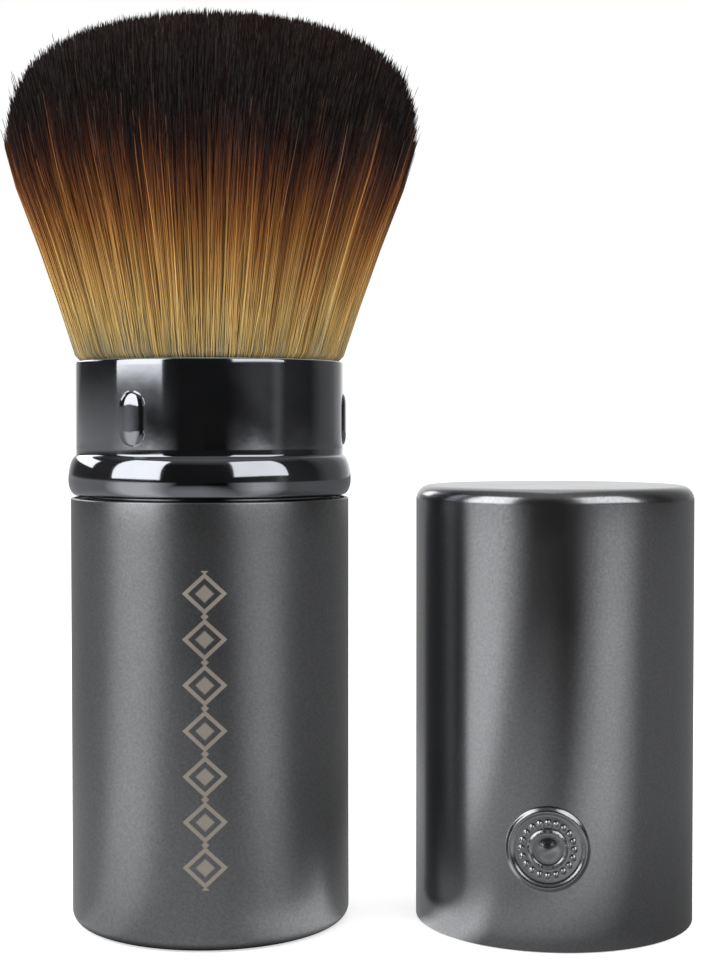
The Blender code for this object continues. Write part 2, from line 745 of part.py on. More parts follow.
def make_brush():
    """Builds the whole object: the brush body, the sliding sleeve and the cap beside them."""
    start_empty()
    base = make_group("base", (0, 0, 0))
    sleeve = make_group("sleeve", (0, 0, collar_bottom))
    cap = make_group("cap", cap_place)

    satin_gunmetal = make_finish("satin_gunmetal", (0.13, 0.135, 0.14), 0.34, 1.0)
    cap_gunmetal = make_finish("cap_gunmetal", (0.11, 0.115, 0.12), 0.34, 1.0)
    polished_gunmetal = make_finish("polished_gunmetal", (0.28, 0.28, 0.3), 0.07, 1.0)
    tube_gunmetal = make_finish("tube_gunmetal", (0.3, 0.3, 0.32), 0.12, 1.0)
    black_moulding = make_finish("black_moulding", (0.02, 0.02, 0.02), 0.45, 0.0)
    grey_moulding = make_finish("grey_moulding", (0.16, 0.16, 0.17), 0.5, 0.0)
    pale_moulding = make_finish("pale_moulding", (0.75, 0.75, 0.72), 0.4, 0.0)
    insert_moulding = make_finish("insert_moulding", (0.05, 0.05, 0.055), 0.45, 0.0)
    slider_moulding = make_finish("slider_moulding", (0.62, 0.62, 0.6), 0.35, 0.0)
    zinc_steel = make_finish("zinc_steel", (0.5, 0.5, 0.52), 0.3, 1.0)
    screw_steel = make_finish("screw_steel", (0.55, 0.55, 0.56), 0.25, 1.0)
    bare_aluminium = make_finish("bare_aluminium", (0.78, 0.78, 0.8), 0.25, 1.0)
    amber_resin = make_finish("amber_resin", (0.55, 0.4, 0.18), 0.3, 0.0)
    dipped_fibre = make_finish("dipped_fibre", (0.3, 0.16, 0.07), 0.55, 0.0)

    make_can(base, satin_gunmetal)
    make_guide_liner(base, black_moulding)
    make_weight(base, zinc_steel)
    make_screw(base, screw_steel)
    make_post(base, grey_moulding)
    make_ferrule(base, bare_aluminium)
    make_glue_plug(base, amber_resin)
    make_bristles(base, dipped_fibre)
    make_collar(sleeve, polished_gunmetal)
    make_collar_insert(sleeve, insert_moulding)
    make_slide_tube(sleeve, tube_gunmetal)
    make_slider_ring(sleeve, slider_moulding)
    make_cap_shell(cap, cap_gunmetal)
    make_cap_liner(cap, pale_moulding)
    bpy.context.view_layer.update()


make_brush()
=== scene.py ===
"""Looks of a retractable face brush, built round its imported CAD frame: smooth turned metal, hair and studio.

The frame gives each body and its place. Every shape here is a formula worked out on whole numpy arrays, in
millimetres, and goes into its mesh in metres. The file is laid out as an add-on and runs as a script.
"""

import functools
import math

import bpy
import numpy as np
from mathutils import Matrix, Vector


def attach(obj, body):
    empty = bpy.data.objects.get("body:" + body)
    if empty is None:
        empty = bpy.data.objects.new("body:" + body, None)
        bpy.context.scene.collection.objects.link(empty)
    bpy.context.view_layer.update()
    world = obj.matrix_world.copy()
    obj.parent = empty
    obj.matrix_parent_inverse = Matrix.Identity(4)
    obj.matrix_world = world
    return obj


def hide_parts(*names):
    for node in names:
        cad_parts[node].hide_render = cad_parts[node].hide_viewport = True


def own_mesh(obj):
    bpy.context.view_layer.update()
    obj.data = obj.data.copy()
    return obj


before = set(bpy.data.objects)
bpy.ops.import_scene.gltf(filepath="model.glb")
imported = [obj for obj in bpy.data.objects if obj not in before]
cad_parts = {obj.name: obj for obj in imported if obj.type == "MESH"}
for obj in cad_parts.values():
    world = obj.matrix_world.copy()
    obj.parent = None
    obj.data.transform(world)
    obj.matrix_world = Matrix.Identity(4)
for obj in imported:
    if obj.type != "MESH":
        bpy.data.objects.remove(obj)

bl_info = {
    "name": "Retractable face brush",
    "version": (1, 0, 0),
    "blender": (4, 5, 0),
    "location": "View3D > Sidebar > Face Brush",
    "description": "Builds the visible pieces of a retractable face brush and the studio round it",
    "category": "Object",
}

MM = 0.001
ROUND_STEPS = 288

# Can, liner and tube, in millimetres as in the CAD source
CAN_RADIUS = 17.5
CAN_HEIGHT = 53.3
CAN_BORE = 17.0
CAN_FLOOR = 0.8
CAN_EDGE = 1.5
CAN_RIM_EDGE = 0.2
TUBE_RADIUS = 15.2
TUBE_BORE = 14.7
TUBE_FOOT = 6.4
TUBE_TOP = 57.7
TUBE_FLARE = 15.65
GUIDE_RADIUS = 16.85
GUIDE_BORE = 16.0
GUIDE_FOOT = 6.1
GUIDE_TOP = 53.1
LIP_BORE = 15.4
LIP_FOOT = 50.7
KEY_TURNS = (62.1, 182.1, 302.1)
KEY_HALF_WIDTH = 1.45
KEY_DEPTH = 0.45
SMALL_EDGE = 0.1

# Collar: wall, rolled bead and pips
COLLAR_FOOT = 53.6
COLLAR_RIM = 70.3
COLLAR_RADIUS = 16.8
COLLAR_BORE = 16.3
BEAD_RADIUS = 17.8
BEAD_TOP = 5.0
BEAD_MIDDLE = 1.9
BEAD_MOUTH = 15.4
FILLET_HEIGHT = 5.27
FILLET_RADIUS = 0.43
RIM_OUTER_EDGE = 0.22
RIM_INNER_EDGE = 0.12
PIP_TURNS = (2.1, 122.1, 242.1)
PIP_HEIGHT = 63.1
PIP_HALF_WIDTH = 1.75
PIP_HALF_RUN = 1.45
PIP_PROUD = 0.4
PIP_CROWN = 2.6
PIP_ROWS_REACH = 3.6

# Cap and its liner
CAP_X = 43.6
CAP_Y = 1.1
CAP_HEIGHT = 54.8
CAP_EDGE = 1.8
CAP_CEILING = 54.0
CAP_INNER_EDGE = 1.3
CAP_LINER_RADIUS = 16.85
CAP_LINER_BORE = 16.25
CAP_LINER_FOOT = 12.7
CAP_LINER_TOP = 52.7

# Plain ornaments: an etched chain of lozenges on the can and a raised roundel on the cap. Each ridge of the
# roundel has its height, the radius of its middle line and its half width.
CHAIN_TURN = -86.6
CHAIN_LOW = 7.5
CHAIN_PITCH = 5.4
CHAIN_COUNT = 7
CHAIN_LOZENGE = (2.7, 2.5)
CHAIN_HEART = (1.15, 1.1)
ROUNDEL_TURN = -97.2
ROUNDEL_HEIGHT = 12.3
ROUNDEL_ROWS_REACH = 5.8
ROUNDEL_RIDGES = ((0.3, 4.55, 0.55), (0.2, 2.15, 0.3), (0.34, 0, 1.5))
ROUNDEL_BEADS = 20
ROUNDEL_BEAD_RING = 3.15
ROUNDEL_BEAD_PROUD = 0.26
ROUNDEL_BEAD_RADIUS = 0.42

# Hair: reach of the outermost strand at each height, from the mouth of the ferrule to the belly
HAIR_ROOT = 62.4
HAIR_RIM = 70.6
HAIR_HEIGHTS = (61.0, 66.0, 70.2, 71.1, 72.2, 75.1, 78.1, 81.0, 84.0, 87.0, 90.0, 92.9, 95.8, 99.0, 113.0)
HAIR_REACHES = (13.2, 14.9, 16.05, 16.9, 17.4, 18.15, 19.2, 20.1, 21.2, 22.3, 23.5, 24.5, 25.3, 26.2, 30.2)
HAIR_RADIUS = 25.6
HAIR_BELLY = 95.8
HAIR_DOME = 16.4
HAIR_TOP = 112.35
HAIR_FULLNESS = 2.95
HAIR_IN_COLLAR = (70.2, 71.1)
HAIR_SPREAD = 72.2
STRAY_SHARE = 0.07
# Share of strands made pale: painted highlights of single glossy hairs
HIGHLIGHT_STRAND_SHARE = 0.03
# Dark wedge inside the hair, painted shade for the shadow deep between the strands: its share of the reach and
# its depth under the dome
SHADE_WEDGE_SHARE = 0.92
SHADE_WEDGE_DEPTH = 2.2
SECTORS = 24
SECTOR_HALF_WIDTH = 4.2
BACKING_RADIUS = 13.4
BACKING_FOOT = 61.1
BACKING_TOP = 62.1

# Dye: the heights between which it runs, and its colour at shares of the way
DYE_LOW = 68
DYE_HIGH = 108
DYE_BANDS = ((0.16, "#CCAC69"), (0.31, "#B88C4F"), (0.43, "#94602D"), (0.55, "#67391F"), (0.67, "#2B120A"),
             (0.78, "#0E0605"))

# Room: brightness of its walls in the metal, once round from straight behind by the left
ROOM_WALLS = ((0.0, 1.0), (0.035, 1.0), (0.07, 0.45), (0.12, 0.07), (0.25, 0.045), (0.3, 0.02), (0.56, 0.02),
              (0.66, 0.07), (0.68, 0.2), (0.7, 0.06), (0.78, 0.04), (0.82, 0.15), (0.88, 0.22), (0.93, 0.5),
              (0.965, 1.0), (1.0, 1.0))

NOISE_SPAN = (0.3, 0.7)
FLOOR_REACH = 4000
FLOOR_LEVEL = -0.1
SOFTBOX_LEVEL = 3

# Camera, fitted to the photograph: its place in metres, and its pitch below level, roll and turn in radians
CAMERA_PLACE = (0.02303, -0.2275, 0.06265)
CAMERA_PITCH = 0.03152
CAMERA_ROLL = 0.00032
CAMERA_TURN = 0.02256


def linear(code):
    """Turns an sRGB hex colour such as #8C8D8F into linear RGBA, by the standard's own curve."""
    parts = [int(code[at:at + 2], 16) / 255 for at in (1, 3, 5)]
    curve = [part / 12.92 if part <= 0.04045 else ((part + 0.055) / 1.055) ** 2.4 for part in parts]
    return (*curve, 1.0)


def arc(centre, radii, start_deg, end_deg, steps):
    """Points of an oval stretch: centre + (a cos t, b sin t), with t evenly spaced between two angles."""
    angle = np.radians(np.linspace(start_deg, end_deg, steps + 1))
    return np.column_stack((centre[0] + radii[0] * np.cos(angle), centre[1] + radii[1] * np.sin(angle)))


def run(start, end, steps):
    """Evenly spaced points of a straight stretch between two (radius, height) points, without its ends."""
    share = np.linspace(0, 1, steps + 1)[1:-1, None]
    return np.array(start) * (1 - share) + np.array(end) * share


def fill_mesh(name, points, faces, sharp_deg=None):
    """Puts points in millimetres and a list of face index arrays into a new mesh in metres."""
    mesh = bpy.data.meshes.new(name)
    corners = np.concatenate([group.ravel() for group in faces]).astype(np.int32)
    counts = np.concatenate([np.full(len(group), group.shape[1]) for group in faces]).astype(np.int32)
    starts = np.concatenate(([0], np.cumsum(counts)[:-1])).astype(np.int32)
    mesh.vertices.add(len(points))
    mesh.vertices.foreach_set("co", (np.asarray(points, float) * MM).astype(np.float32).ravel())
    mesh.loops.add(len(corners))
    mesh.loops.foreach_set("vertex_index", corners)
    mesh.polygons.add(len(counts))
    mesh.polygons.foreach_set("loop_start", starts)
    mesh.polygons.foreach_set("loop_total", counts)
    mesh.update(calc_edges=True)
    if mesh.validate():
        raise RuntimeError(f"{name}: the mesh had faces that Blender removed")
    mesh.shade_smooth()
    if sharp_deg is not None:
        mesh.set_sharp_from_angle(angle=math.radians(sharp_deg))
    return mesh


def turned_faces(rows, columns, first_pole, last_pole, closed):
    """Faces of a turned grid: quads between rows, fans at the poles, and a last strip where a loop closes."""
    grid = np.arange(rows * columns).reshape(rows, columns)
    after = np.roll(grid, -1, axis=1)
    lower, upper = (grid, np.roll(grid, -1, axis=0)) if closed else (grid[:-1], grid[1:])
    lower_after, upper_after = (after, np.roll(after, -1, axis=0)) if closed else (after[:-1], after[1:])
    faces = [np.stack((lower, lower_after, upper_after, upper), axis=-1).reshape(-1, 4)]
    pole = rows * columns
    if first_pole:
        faces.append(np.column_stack((np.full(columns, pole), after[0], grid[0])))
        pole += 1
    if last_pole:
        faces.append(np.column_stack((grid[-1], after[-1], np.full(columns, pole))))
    return faces


def turned(name, profile, angles=None, swell=None, centre=(0.0, 0.0), sharp_deg=35):
    """A closed solid of revolution: (r cos t, r sin t, z) for each profile point (r, z) and each angle t.

    The profile runs anticlockwise in the (r, z) plane. Where it starts or ends on the axis, that end is one
    point with a fan, and otherwise it is a loop. swell(t, r, z) gives a radius to add at each grid point.
    """
    profile = np.asarray(profile, float)
    if angles is None:
        angles = np.linspace(0, math.tau, ROUND_STEPS, endpoint=False)
    first_pole = profile[0, 0] == 0
    last_pole = profile[-1, 0] == 0
    poles = [point for point, is_pole in ((profile[0], first_pole), (profile[-1], last_pole)) if is_pole]
    body = profile[int(first_pole):len(profile) - int(last_pole)]
    turn, radius = np.meshgrid(angles, body[:, 0])
    height = np.repeat(body[:, 1][:, None], len(angles), axis=1)
    if swell is not None:
        radius = radius + swell(turn, radius, height)
    points = np.stack((radius * np.cos(turn), radius * np.sin(turn), height), axis=-1).reshape(-1, 3)
    if poles:
        points = np.vstack((points, [(0, 0, point[1]) for point in poles]))
    points[:, :2] += centre
    faces = turned_faces(len(body), len(angles), first_pole, last_pole, not poles)
    return fill_mesh(name, points, faces, sharp_deg)


def fine_angles(turns_deg, half_width_deg, fine_steps, coarse_steps):
    """Angles round the axis, closer together within half_width_deg of each of the given turns."""
    even = np.linspace(0, 360, coarse_steps, endpoint=False)
    fine = [turn + np.linspace(-half_width_deg, half_width_deg, fine_steps) for turn in turns_deg]
    away = np.ones(len(even), bool)
    for turn in turns_deg:
        away &= np.abs((even - turn + 180) % 360 - 180) > half_width_deg + 0.3
    return np.radians(np.sort(np.concatenate((even[away], *fine)) % 360))


def around(turn, turn_deg, radius):
    """Distance along the surface, in millimetres, from the upright line at turn_deg."""
    return ((turn - math.radians(turn_deg) + math.pi) % math.tau - math.pi) * radius


def can_profile():
    """Drawn can: flat bottom, quarter-round edge, plain wall, broken rim, and the same inside."""
    rim, inner = CAN_RIM_EDGE, 1.0
    return np.vstack((
        [(0, 0)], run((0, 0), (CAN_RADIUS - CAN_EDGE, 0), 6),
        arc((CAN_RADIUS - CAN_EDGE, CAN_EDGE), (CAN_EDGE, CAN_EDGE), -90, 0, 10),
        run((CAN_RADIUS, CAN_EDGE), (CAN_RADIUS, CAN_HEIGHT - rim), 12),
        arc((CAN_RADIUS - rim, CAN_HEIGHT - rim), (rim, rim), 0, 90, 5),
        [(CAN_BORE, CAN_HEIGHT)], run((CAN_BORE, CAN_HEIGHT), (CAN_BORE, CAN_FLOOR + inner), 6),
        arc((CAN_BORE - inner, CAN_FLOOR + inner), (inner, inner), 0, -90, 6), [(0, CAN_FLOOR)],
    ))


def tube_profile():
    """Drawn tube with its foot rolled outward and both edges of its mouth broken."""
    flange = TUBE_FOOT + TUBE_RADIUS - TUBE_BORE
    edge = SMALL_EDGE
    return np.array([
        (TUBE_BORE, TUBE_FOOT), (TUBE_FLARE, TUBE_FOOT), (TUBE_FLARE, flange), (TUBE_RADIUS, flange),
        (TUBE_RADIUS, TUBE_TOP - edge), (TUBE_RADIUS - edge, TUBE_TOP), (TUBE_BORE + edge, TUBE_TOP),
        (TUBE_BORE, TUBE_TOP - edge),
    ])


def liner_profile():
    """Guide tube with an inward lip at its mouth, whose bore has a lead-in."""
    edge, lead_in = SMALL_EDGE, 0.3
    return np.array([
        (GUIDE_BORE, GUIDE_FOOT), (GUIDE_RADIUS, GUIDE_FOOT), (GUIDE_RADIUS, GUIDE_TOP - edge),
        (GUIDE_RADIUS - edge, GUIDE_TOP), (LIP_BORE + lead_in + 0.05, GUIDE_TOP),
        (LIP_BORE + lead_in, GUIDE_TOP - 0.01), (LIP_BORE, GUIDE_TOP - lead_in), (LIP_BORE, LIP_FOOT),
        (GUIDE_BORE, LIP_FOOT), (GUIDE_BORE, LIP_FOOT - edge),
    ])


def collar_profile():
    """Collar shell from its rim down the bore, round the bead's inside and outside, and up the outer wall."""
    foot = COLLAR_FOOT
    wall = COLLAR_RADIUS - COLLAR_BORE
    axis = (COLLAR_RADIUS - 0.05, foot + BEAD_MIDDLE)
    depth = BEAD_RADIUS - axis[0]
    above, below = BEAD_TOP - BEAD_MIDDLE, BEAD_MIDDLE
    inside_over = arc(axis, (depth - wall, above - wall), 90, 0, 8)
    inside_under = arc(axis, (depth - wall, below - wall), 0, -90, 8)[1:]
    under = arc(axis, (depth, below), -78, 0, 14)
    over = arc(axis, (depth, above), 0, 77, 22)[1:]
    fillet_middle = (COLLAR_RADIUS + FILLET_RADIUS, foot + FILLET_HEIGHT)
    fillet = arc(fillet_middle, (FILLET_RADIUS, FILLET_RADIUS), 240, 180, 6)
    outer, inner = RIM_OUTER_EDGE, RIM_INNER_EDGE
    pip_low, pip_high = PIP_HEIGHT - PIP_ROWS_REACH, PIP_HEIGHT + PIP_ROWS_REACH
    return np.vstack((
        [(COLLAR_BORE, COLLAR_RIM - inner)],
        run((COLLAR_BORE, COLLAR_RIM), (COLLAR_BORE, foot + BEAD_TOP), 10), [(COLLAR_BORE, foot + BEAD_TOP)],
        inside_over, inside_under,
        [(BEAD_MOUTH, foot + wall), (BEAD_MOUTH, foot), (under[0][0] - 0.5, foot)], under, over, fillet,
        [(COLLAR_RADIUS, pip_low)], run((COLLAR_RADIUS, pip_low), (COLLAR_RADIUS, pip_high), 60),
        [(COLLAR_RADIUS, pip_high)],
        run((COLLAR_RADIUS, pip_high), (COLLAR_RADIUS, COLLAR_RIM - outer), 6),
        arc((COLLAR_RADIUS - outer, COLLAR_RIM - outer), (outer, outer), 0, 90, 6),
        arc((COLLAR_BORE + inner, COLLAR_RIM - inner), (inner, inner), 90, 170, 3),
    ))


def pip_swell(turn, radius, height):
    """Pips: a dome h = proud * sqrt(1 - (d / half width)^crown), d being the distance to an upright mid-line.

    Only the outer wall swells, so the distance counts where the radius is the wall's.
    """
    wall = (radius > COLLAR_RADIUS - 0.01) & (radius < COLLAR_RADIUS + 0.01)
    rise = np.zeros_like(turn)
    for turn_deg in PIP_TURNS:
        across = around(turn, turn_deg, COLLAR_RADIUS)
        along = np.maximum(np.abs(height - PIP_HEIGHT) - PIP_HALF_RUN, 0)
        share = np.clip(np.hypot(across, along) / PIP_HALF_WIDTH, 0, 1)
        rise = np.maximum(rise, PIP_PROUD * np.sqrt(1 - share**PIP_CROWN))
    return np.where(wall, rise, 0)


def cap_profile():
    """Drawn cap, from its ceiling's middle down the bore, round the mouth and up to the middle of its top.

    The rows are close together where the roundel stands.
    """
    rim, inner = CAN_RIM_EDGE, CAP_INNER_EDGE
    low, high = ROUNDEL_HEIGHT - ROUNDEL_ROWS_REACH, ROUNDEL_HEIGHT + ROUNDEL_ROWS_REACH
    return np.vstack((
        [(0, CAP_CEILING)], run((0, CAP_CEILING), (CAN_BORE - inner, CAP_CEILING), 6),
        arc((CAN_BORE - inner, CAP_CEILING - inner), (inner, inner), 90, 0, 8),
        run((CAN_BORE, CAP_CEILING - inner), (CAN_BORE, 0), 8), [(CAN_BORE, 0)],
        arc((CAN_RADIUS - rim, rim), (rim, rim), -90, 0, 5),
        run((CAN_RADIUS, rim), (CAN_RADIUS, low), 4), [(CAN_RADIUS, low)],
        run((CAN_RADIUS, low), (CAN_RADIUS, high), 84), [(CAN_RADIUS, high)],
        run((CAN_RADIUS, high), (CAN_RADIUS, CAP_HEIGHT - CAP_EDGE), 8),
        arc((CAN_RADIUS - CAP_EDGE, CAP_HEIGHT - CAP_EDGE), (CAP_EDGE, CAP_EDGE), 0, 90, 14),
        run((CAN_RADIUS - CAP_EDGE, CAP_HEIGHT), (0, CAP_HEIGHT), 6), [(0, CAP_HEIGHT)],
    ))


def ridge(distance, middle, half_width):
    """A smooth rounded ridge: (1 - x^2)^2, x being the distance from its middle over its half width."""
    share = np.clip(np.abs(distance - middle) / half_width, 0, 1)
    return (1 - share**2) ** 2


def roundel_swell(turn, radius, height):
    """Raised roundel on the cap's wall: two ridges round a ring of beads and a low middle boss."""
    across = around(turn, ROUNDEL_TURN, CAN_RADIUS)
    up = height - ROUNDEL_HEIGHT
    distance = np.hypot(across, up)
    bearing = np.arctan2(up, across)
    bead_turn = (bearing * ROUNDEL_BEADS / math.tau + 0.5) % 1 - 0.5
    bead_side = bead_turn * math.tau / ROUNDEL_BEADS * ROUNDEL_BEAD_RING
    from_bead = np.hypot(distance - ROUNDEL_BEAD_RING, bead_side)
    rise = ROUNDEL_BEAD_PROUD * ridge(from_bead, 0, ROUNDEL_BEAD_RADIUS)
    for proud, middle, half_width in ROUNDEL_RIDGES:
        rise = rise + proud * ridge(distance, middle, half_width)
    return np.where(radius > CAN_RADIUS - 0.01, rise, 0)


def cap_liner_profile():
    """Smooth moulded sleeve inside the cap, with a lead-in at its mouth."""
    return np.array([
        (CAP_LINER_BORE, CAP_LINER_FOOT + 0.3), (CAP_LINER_BORE + 0.3, CAP_LINER_FOOT),
        (CAP_LINER_RADIUS, CAP_LINER_FOOT), (CAP_LINER_RADIUS, CAP_LINER_TOP), (CAP_LINER_BORE, CAP_LINER_TOP),
        (CAP_LINER_BORE, CAP_LINER_TOP - SMALL_EDGE),
    ])


def keyed_swell(turn, radius, height):
    """Keyways of the guide tube: the bore below its lip is KEY_DEPTH deeper where a key runs."""
    rise = np.zeros_like(turn)
    for turn_deg in KEY_TURNS:
        inside = np.abs(around(turn, turn_deg, GUIDE_BORE)) < KEY_HALF_WIDTH
        rise = np.where(inside & (np.abs(radius - GUIDE_BORE) < 0.01), KEY_DEPTH, rise)
    return rise


def backing_profile():
    """Short plug in the ferrule's mouth, with broken edges, from which the strands grow."""
    edge = 0.2
    return np.array([
        (0, BACKING_FOOT), (BACKING_RADIUS - edge, BACKING_FOOT), (BACKING_RADIUS, BACKING_FOOT + edge),
        (BACKING_RADIUS, BACKING_TOP - edge), (BACKING_RADIUS - edge, BACKING_TOP), (0, BACKING_TOP),
    ])


def hair_reach(height):
    """How far from the axis the outermost line of the fan stands at a height, in short straight stretches."""
    return np.interp(height, HAIR_HEIGHTS, HAIR_REACHES)


def dome_height(share):
    """Height of the dome over a strand that stands at a share of the reach: (1 - share^n)^(1/n)."""
    fullness = HAIR_FULLNESS
    return HAIR_BELLY + HAIR_DOME * np.maximum(1 - share**fullness, 0) ** (1 / fullness)


def tip_height(share):
    """Height where a straight strand of the fan meets the dome, for its share of the fan's reach."""
    level = np.linspace(0, 1, 400)
    height = HAIR_BELLY + HAIR_DOME * level
    radius = HAIR_RADIUS * (1 - level**HAIR_FULLNESS) ** (1 / HAIR_FULLNESS)
    return np.interp(share, (radius / hair_reach(height))[::-1], height[::-1])


def ring_noise(bearing, knots, chance):
    """Smooth random values round the circle: random knots, joined by 3f^2 - 2f^3."""
    values = chance.normal(0, 1, knots)
    place = bearing / math.tau * knots
    low = np.floor(place).astype(int)
    share = place - low
    share = share * share * (3 - 2 * share)
    return values[low % knots] * (1 - share) + values[(low + 1) % knots] * share


def strand_paths(share, bearing, middle, chance, looseness):
    """Middle points of the strands, one row each: a strand keeps its share of the reach as it rises.

    Random pulls in bearing draw strands into locks. Each strand leaves its line sideways by a random length
    times height^1.5, outwards by one times height^2, and in a half wave between. None strays further than
    SECTOR_HALF_WIDTH from its sector's mid-line, so that the gathered sector fits in the tube. The head leans a
    little towards +X.
    """
    count = len(share)
    tip = tip_height(share) + chance.normal(0, 0.25, count)
    tip = np.maximum(tip, HAIR_BELLY + chance.uniform(-0.8, 0.6, count))
    tip = np.minimum(tip, HAIR_TOP)
    fixed = [np.full(count, height) for height in (HAIR_ROOT, *HAIR_IN_COLLAR)]
    free = [HAIR_SPREAD + (tip - HAIR_SPREAD) * share_up for share_up in (0.2, 0.5, 0.8)]
    heights = np.column_stack((*fixed, *free, tip - 0.35, tip))
    up = np.clip((heights - HAIR_RIM) / (HAIR_BELLY - HAIR_RIM), 0, 1.5)
    reach = hair_reach(heights) * share[:, None]
    lock = 0.006 * ring_noise(bearing, 90, chance) + 0.004 * ring_noise(bearing, 260, chance)
    strays = chance.random(count) < STRAY_SHARE
    side = chance.normal(0, 0.42 * looseness, count) + strays * chance.normal(0, 1.3 * looseness, count)
    out = chance.normal(0, 0.15, count) + strays * chance.normal(0, 0.35, count)
    bend = chance.normal(0, 0.32 * looseness, count)[:, None] * np.sin(up * 3.1)
    turn = bearing[:, None] + lock[:, None] * up + (side[:, None] * up**1.5 + bend) / np.maximum(reach, 3)
    reach = np.maximum(reach + out[:, None] * up**2, 0.02)
    reach = np.minimum(reach, hair_reach(heights) + 0.15)
    aside = np.clip(reach * np.sin(turn - middle[:, None]), -SECTOR_HALF_WIDTH, SECTOR_HALF_WIDTH)
    turn = middle[:, None] + np.arcsin(np.clip(aside / reach, -1, 1))
    lean = 0.25 * np.minimum(up, 1) + 0.95 * np.clip((heights - HAIR_BELLY) / HAIR_DOME, 0, 1)
    return np.stack((reach * np.cos(turn) + lean, reach * np.sin(turn), heights), axis=-1)


def strand_points(paths, thickness, twist):
    """Triangular rings round each strand's path, thickest above the middle and closing to a point at its tip."""
    rings = paths.shape[1] - 1
    taper = np.array([0.7, 0.8, 0.9, 1.05, 1.1, 1.0, 0.62])[:rings]
    angle = twist[:, None] + np.arange(3) * math.tau / 3
    flat = np.stack((np.cos(angle), np.sin(angle), np.zeros_like(angle)), axis=-1)
    width = thickness[:, None] * taper
    points = paths[:, :rings, None, :] + flat[:, None, :, :] * width[:, :, None, None]
    return np.concatenate((points.reshape(len(paths), -1, 3), paths[:, -1:, :]), axis=1)


def strand_faces(count, rings):
    """Faces of the strands: a root triangle, three quads between rings, and three triangles at the tip."""
    size = rings * 3 + 1
    base = np.arange(count)[:, None] * size
    quads = []
    for ring in range(rings - 1):
        for side in range(3):
            after = (side + 1) % 3
            low, high = ring * 3, ring * 3 + 3
            quads.append((low + side, low + after, high + after, high + side))
    last = rings * 3 - 3
    tips = [(last + side, last + (side + 1) % 3, last + 3) for side in range(3)]
    tips.append((2, 1, 0))
    quads = (base[:, None, :] + np.array(quads)[None]).reshape(-1, 4)
    tips = (base[:, None, :] + np.array(tips)[None]).reshape(-1, 3)
    return quads, tips


def wedge_points(start_deg, end_deg, thinning):
    """Dark wedge of one sector of hair, painted shade for the shadow deep between the strands: at each height a
    slice from the axis out to a share of the hair's reach.
    """
    dome = np.linspace(0.985, 0.08, 10)
    heights = np.concatenate((np.linspace(HAIR_ROOT, HAIR_BELLY, 14), dome_height(dome) - SHADE_WEDGE_DEPTH))
    reach = np.concatenate((hair_reach(heights[:14]), hair_reach(np.full(10, HAIR_BELLY)) * dome)) * thinning
    heights[14:] = np.maximum.accumulate(np.maximum(heights[14:], HAIR_BELLY + 0.2))
    angle = np.radians(np.linspace(start_deg, end_deg, 5))
    edge = np.stack((reach[:, None] * np.cos(angle), reach[:, None] * np.sin(angle)), axis=-1)
    slices = np.concatenate((np.zeros((len(heights), 1, 2)), edge), axis=1)
    level = np.repeat(heights[:, None], 6, axis=1)
    return np.concatenate((slices, level[:, :, None]), axis=2)


def wedge_faces(slices, first):
    """Faces of a core slice stack: quads round it, and one face at each end."""
    grid = np.arange(slices * 6).reshape(slices, 6) + first
    after = np.roll(grid, -1, axis=1)
    sides = np.stack((grid[:-1], after[:-1], after[1:], grid[1:]), axis=-1).reshape(-1, 4)
    return sides, grid[0][::-1][None], grid[-1][None]


def write_strand_map(mesh, shade, creep, rings):
    """Gives the hair its map and its two values: u is the strand's column, and v runs from root to tip.

    Each strand has a shade, which is how light it is, and a creep, which is how far in millimetres the dye rose
    in it. The dark wedge's shade is -1, which marks it for painted shade.
    """
    size = rings * 3 + 1
    count = len(shade)
    where = np.arange(len(mesh.vertices))
    strand = np.minimum(where // size, count)
    is_hair = where < count * size
    for name, values, rest in (("shade", shade, -1.0), ("creep", creep, 0.0)):
        attribute = mesh.attributes.new(name, "FLOAT", "POINT")
        attribute.data.foreach_set("value", np.append(values, rest)[strand].astype(np.float32))
    corners = np.empty(len(mesh.loops), np.int32)
    mesh.loops.foreach_get("vertex_index", corners)
    in_strand = where % size
    core_place = (where - count * size) / (len(where) - count * size)
    along = np.where(is_hair, np.minimum(in_strand // 3, rings) / rings, core_place)
    across = np.where(is_hair, (strand + 0.15 + 0.3 * (in_strand % 3)) / (count + 8), 0.995)
    uv = mesh.uv_layers.new(name="OFBake")
    uv.data.foreach_set("uv", np.column_stack((across[corners], along[corners])).astype(np.float32).ravel())


def comb_hair(total, thickness, looseness, seed):
    """All the strands: an even spiral over the head, each with its points, shade, creep and sector.

    Shade and creep come from locks of several widths round the head and from each strand's own chance.
    """
    chance = np.random.default_rng(seed)
    order = np.arange(total)
    bearing = (order * math.pi * (3 - math.sqrt(5))) % math.tau
    share = np.sqrt((order + 0.5) / total)
    sector = (bearing * SECTORS // math.tau).astype(int)
    bearing = bearing + chance.normal(0, 0.004, total)
    paths = strand_paths(share, bearing, (sector + 0.5) * math.tau / SECTORS, chance, looseness)
    thick = thickness / 2 * chance.uniform(0.75, 1.2, total)
    points = strand_points(paths, thick, chance.uniform(0, math.tau, total))
    shade = 0.52 + 0.09 * ring_noise(bearing, 70, chance) + 0.12 * ring_noise(bearing, 230, chance)
    shade = shade + 0.1 * ring_noise(bearing, 520, chance) + chance.normal(0, 0.16, total)
    creep = 1.3 * ring_noise(bearing, 60, chance) + 1.3 * ring_noise(bearing, 190, chance)
    creep = creep + 0.8 * ring_noise(bearing, 450, chance) + chance.normal(0, 1.0, total)
    # Painted highlights: a few strands are made lighter and less dyed, standing for the sheen on single glossy
    # hairs
    pale = chance.random(total) < HIGHLIGHT_STRAND_SHARE
    shade = np.where(pale, chance.uniform(0.9, 1.35, total), np.clip(shade, 0, 1))
    creep = creep - pale * chance.uniform(1.5, 6.5, total)
    return points, shade, creep, sector, paths.shape[1] - 1


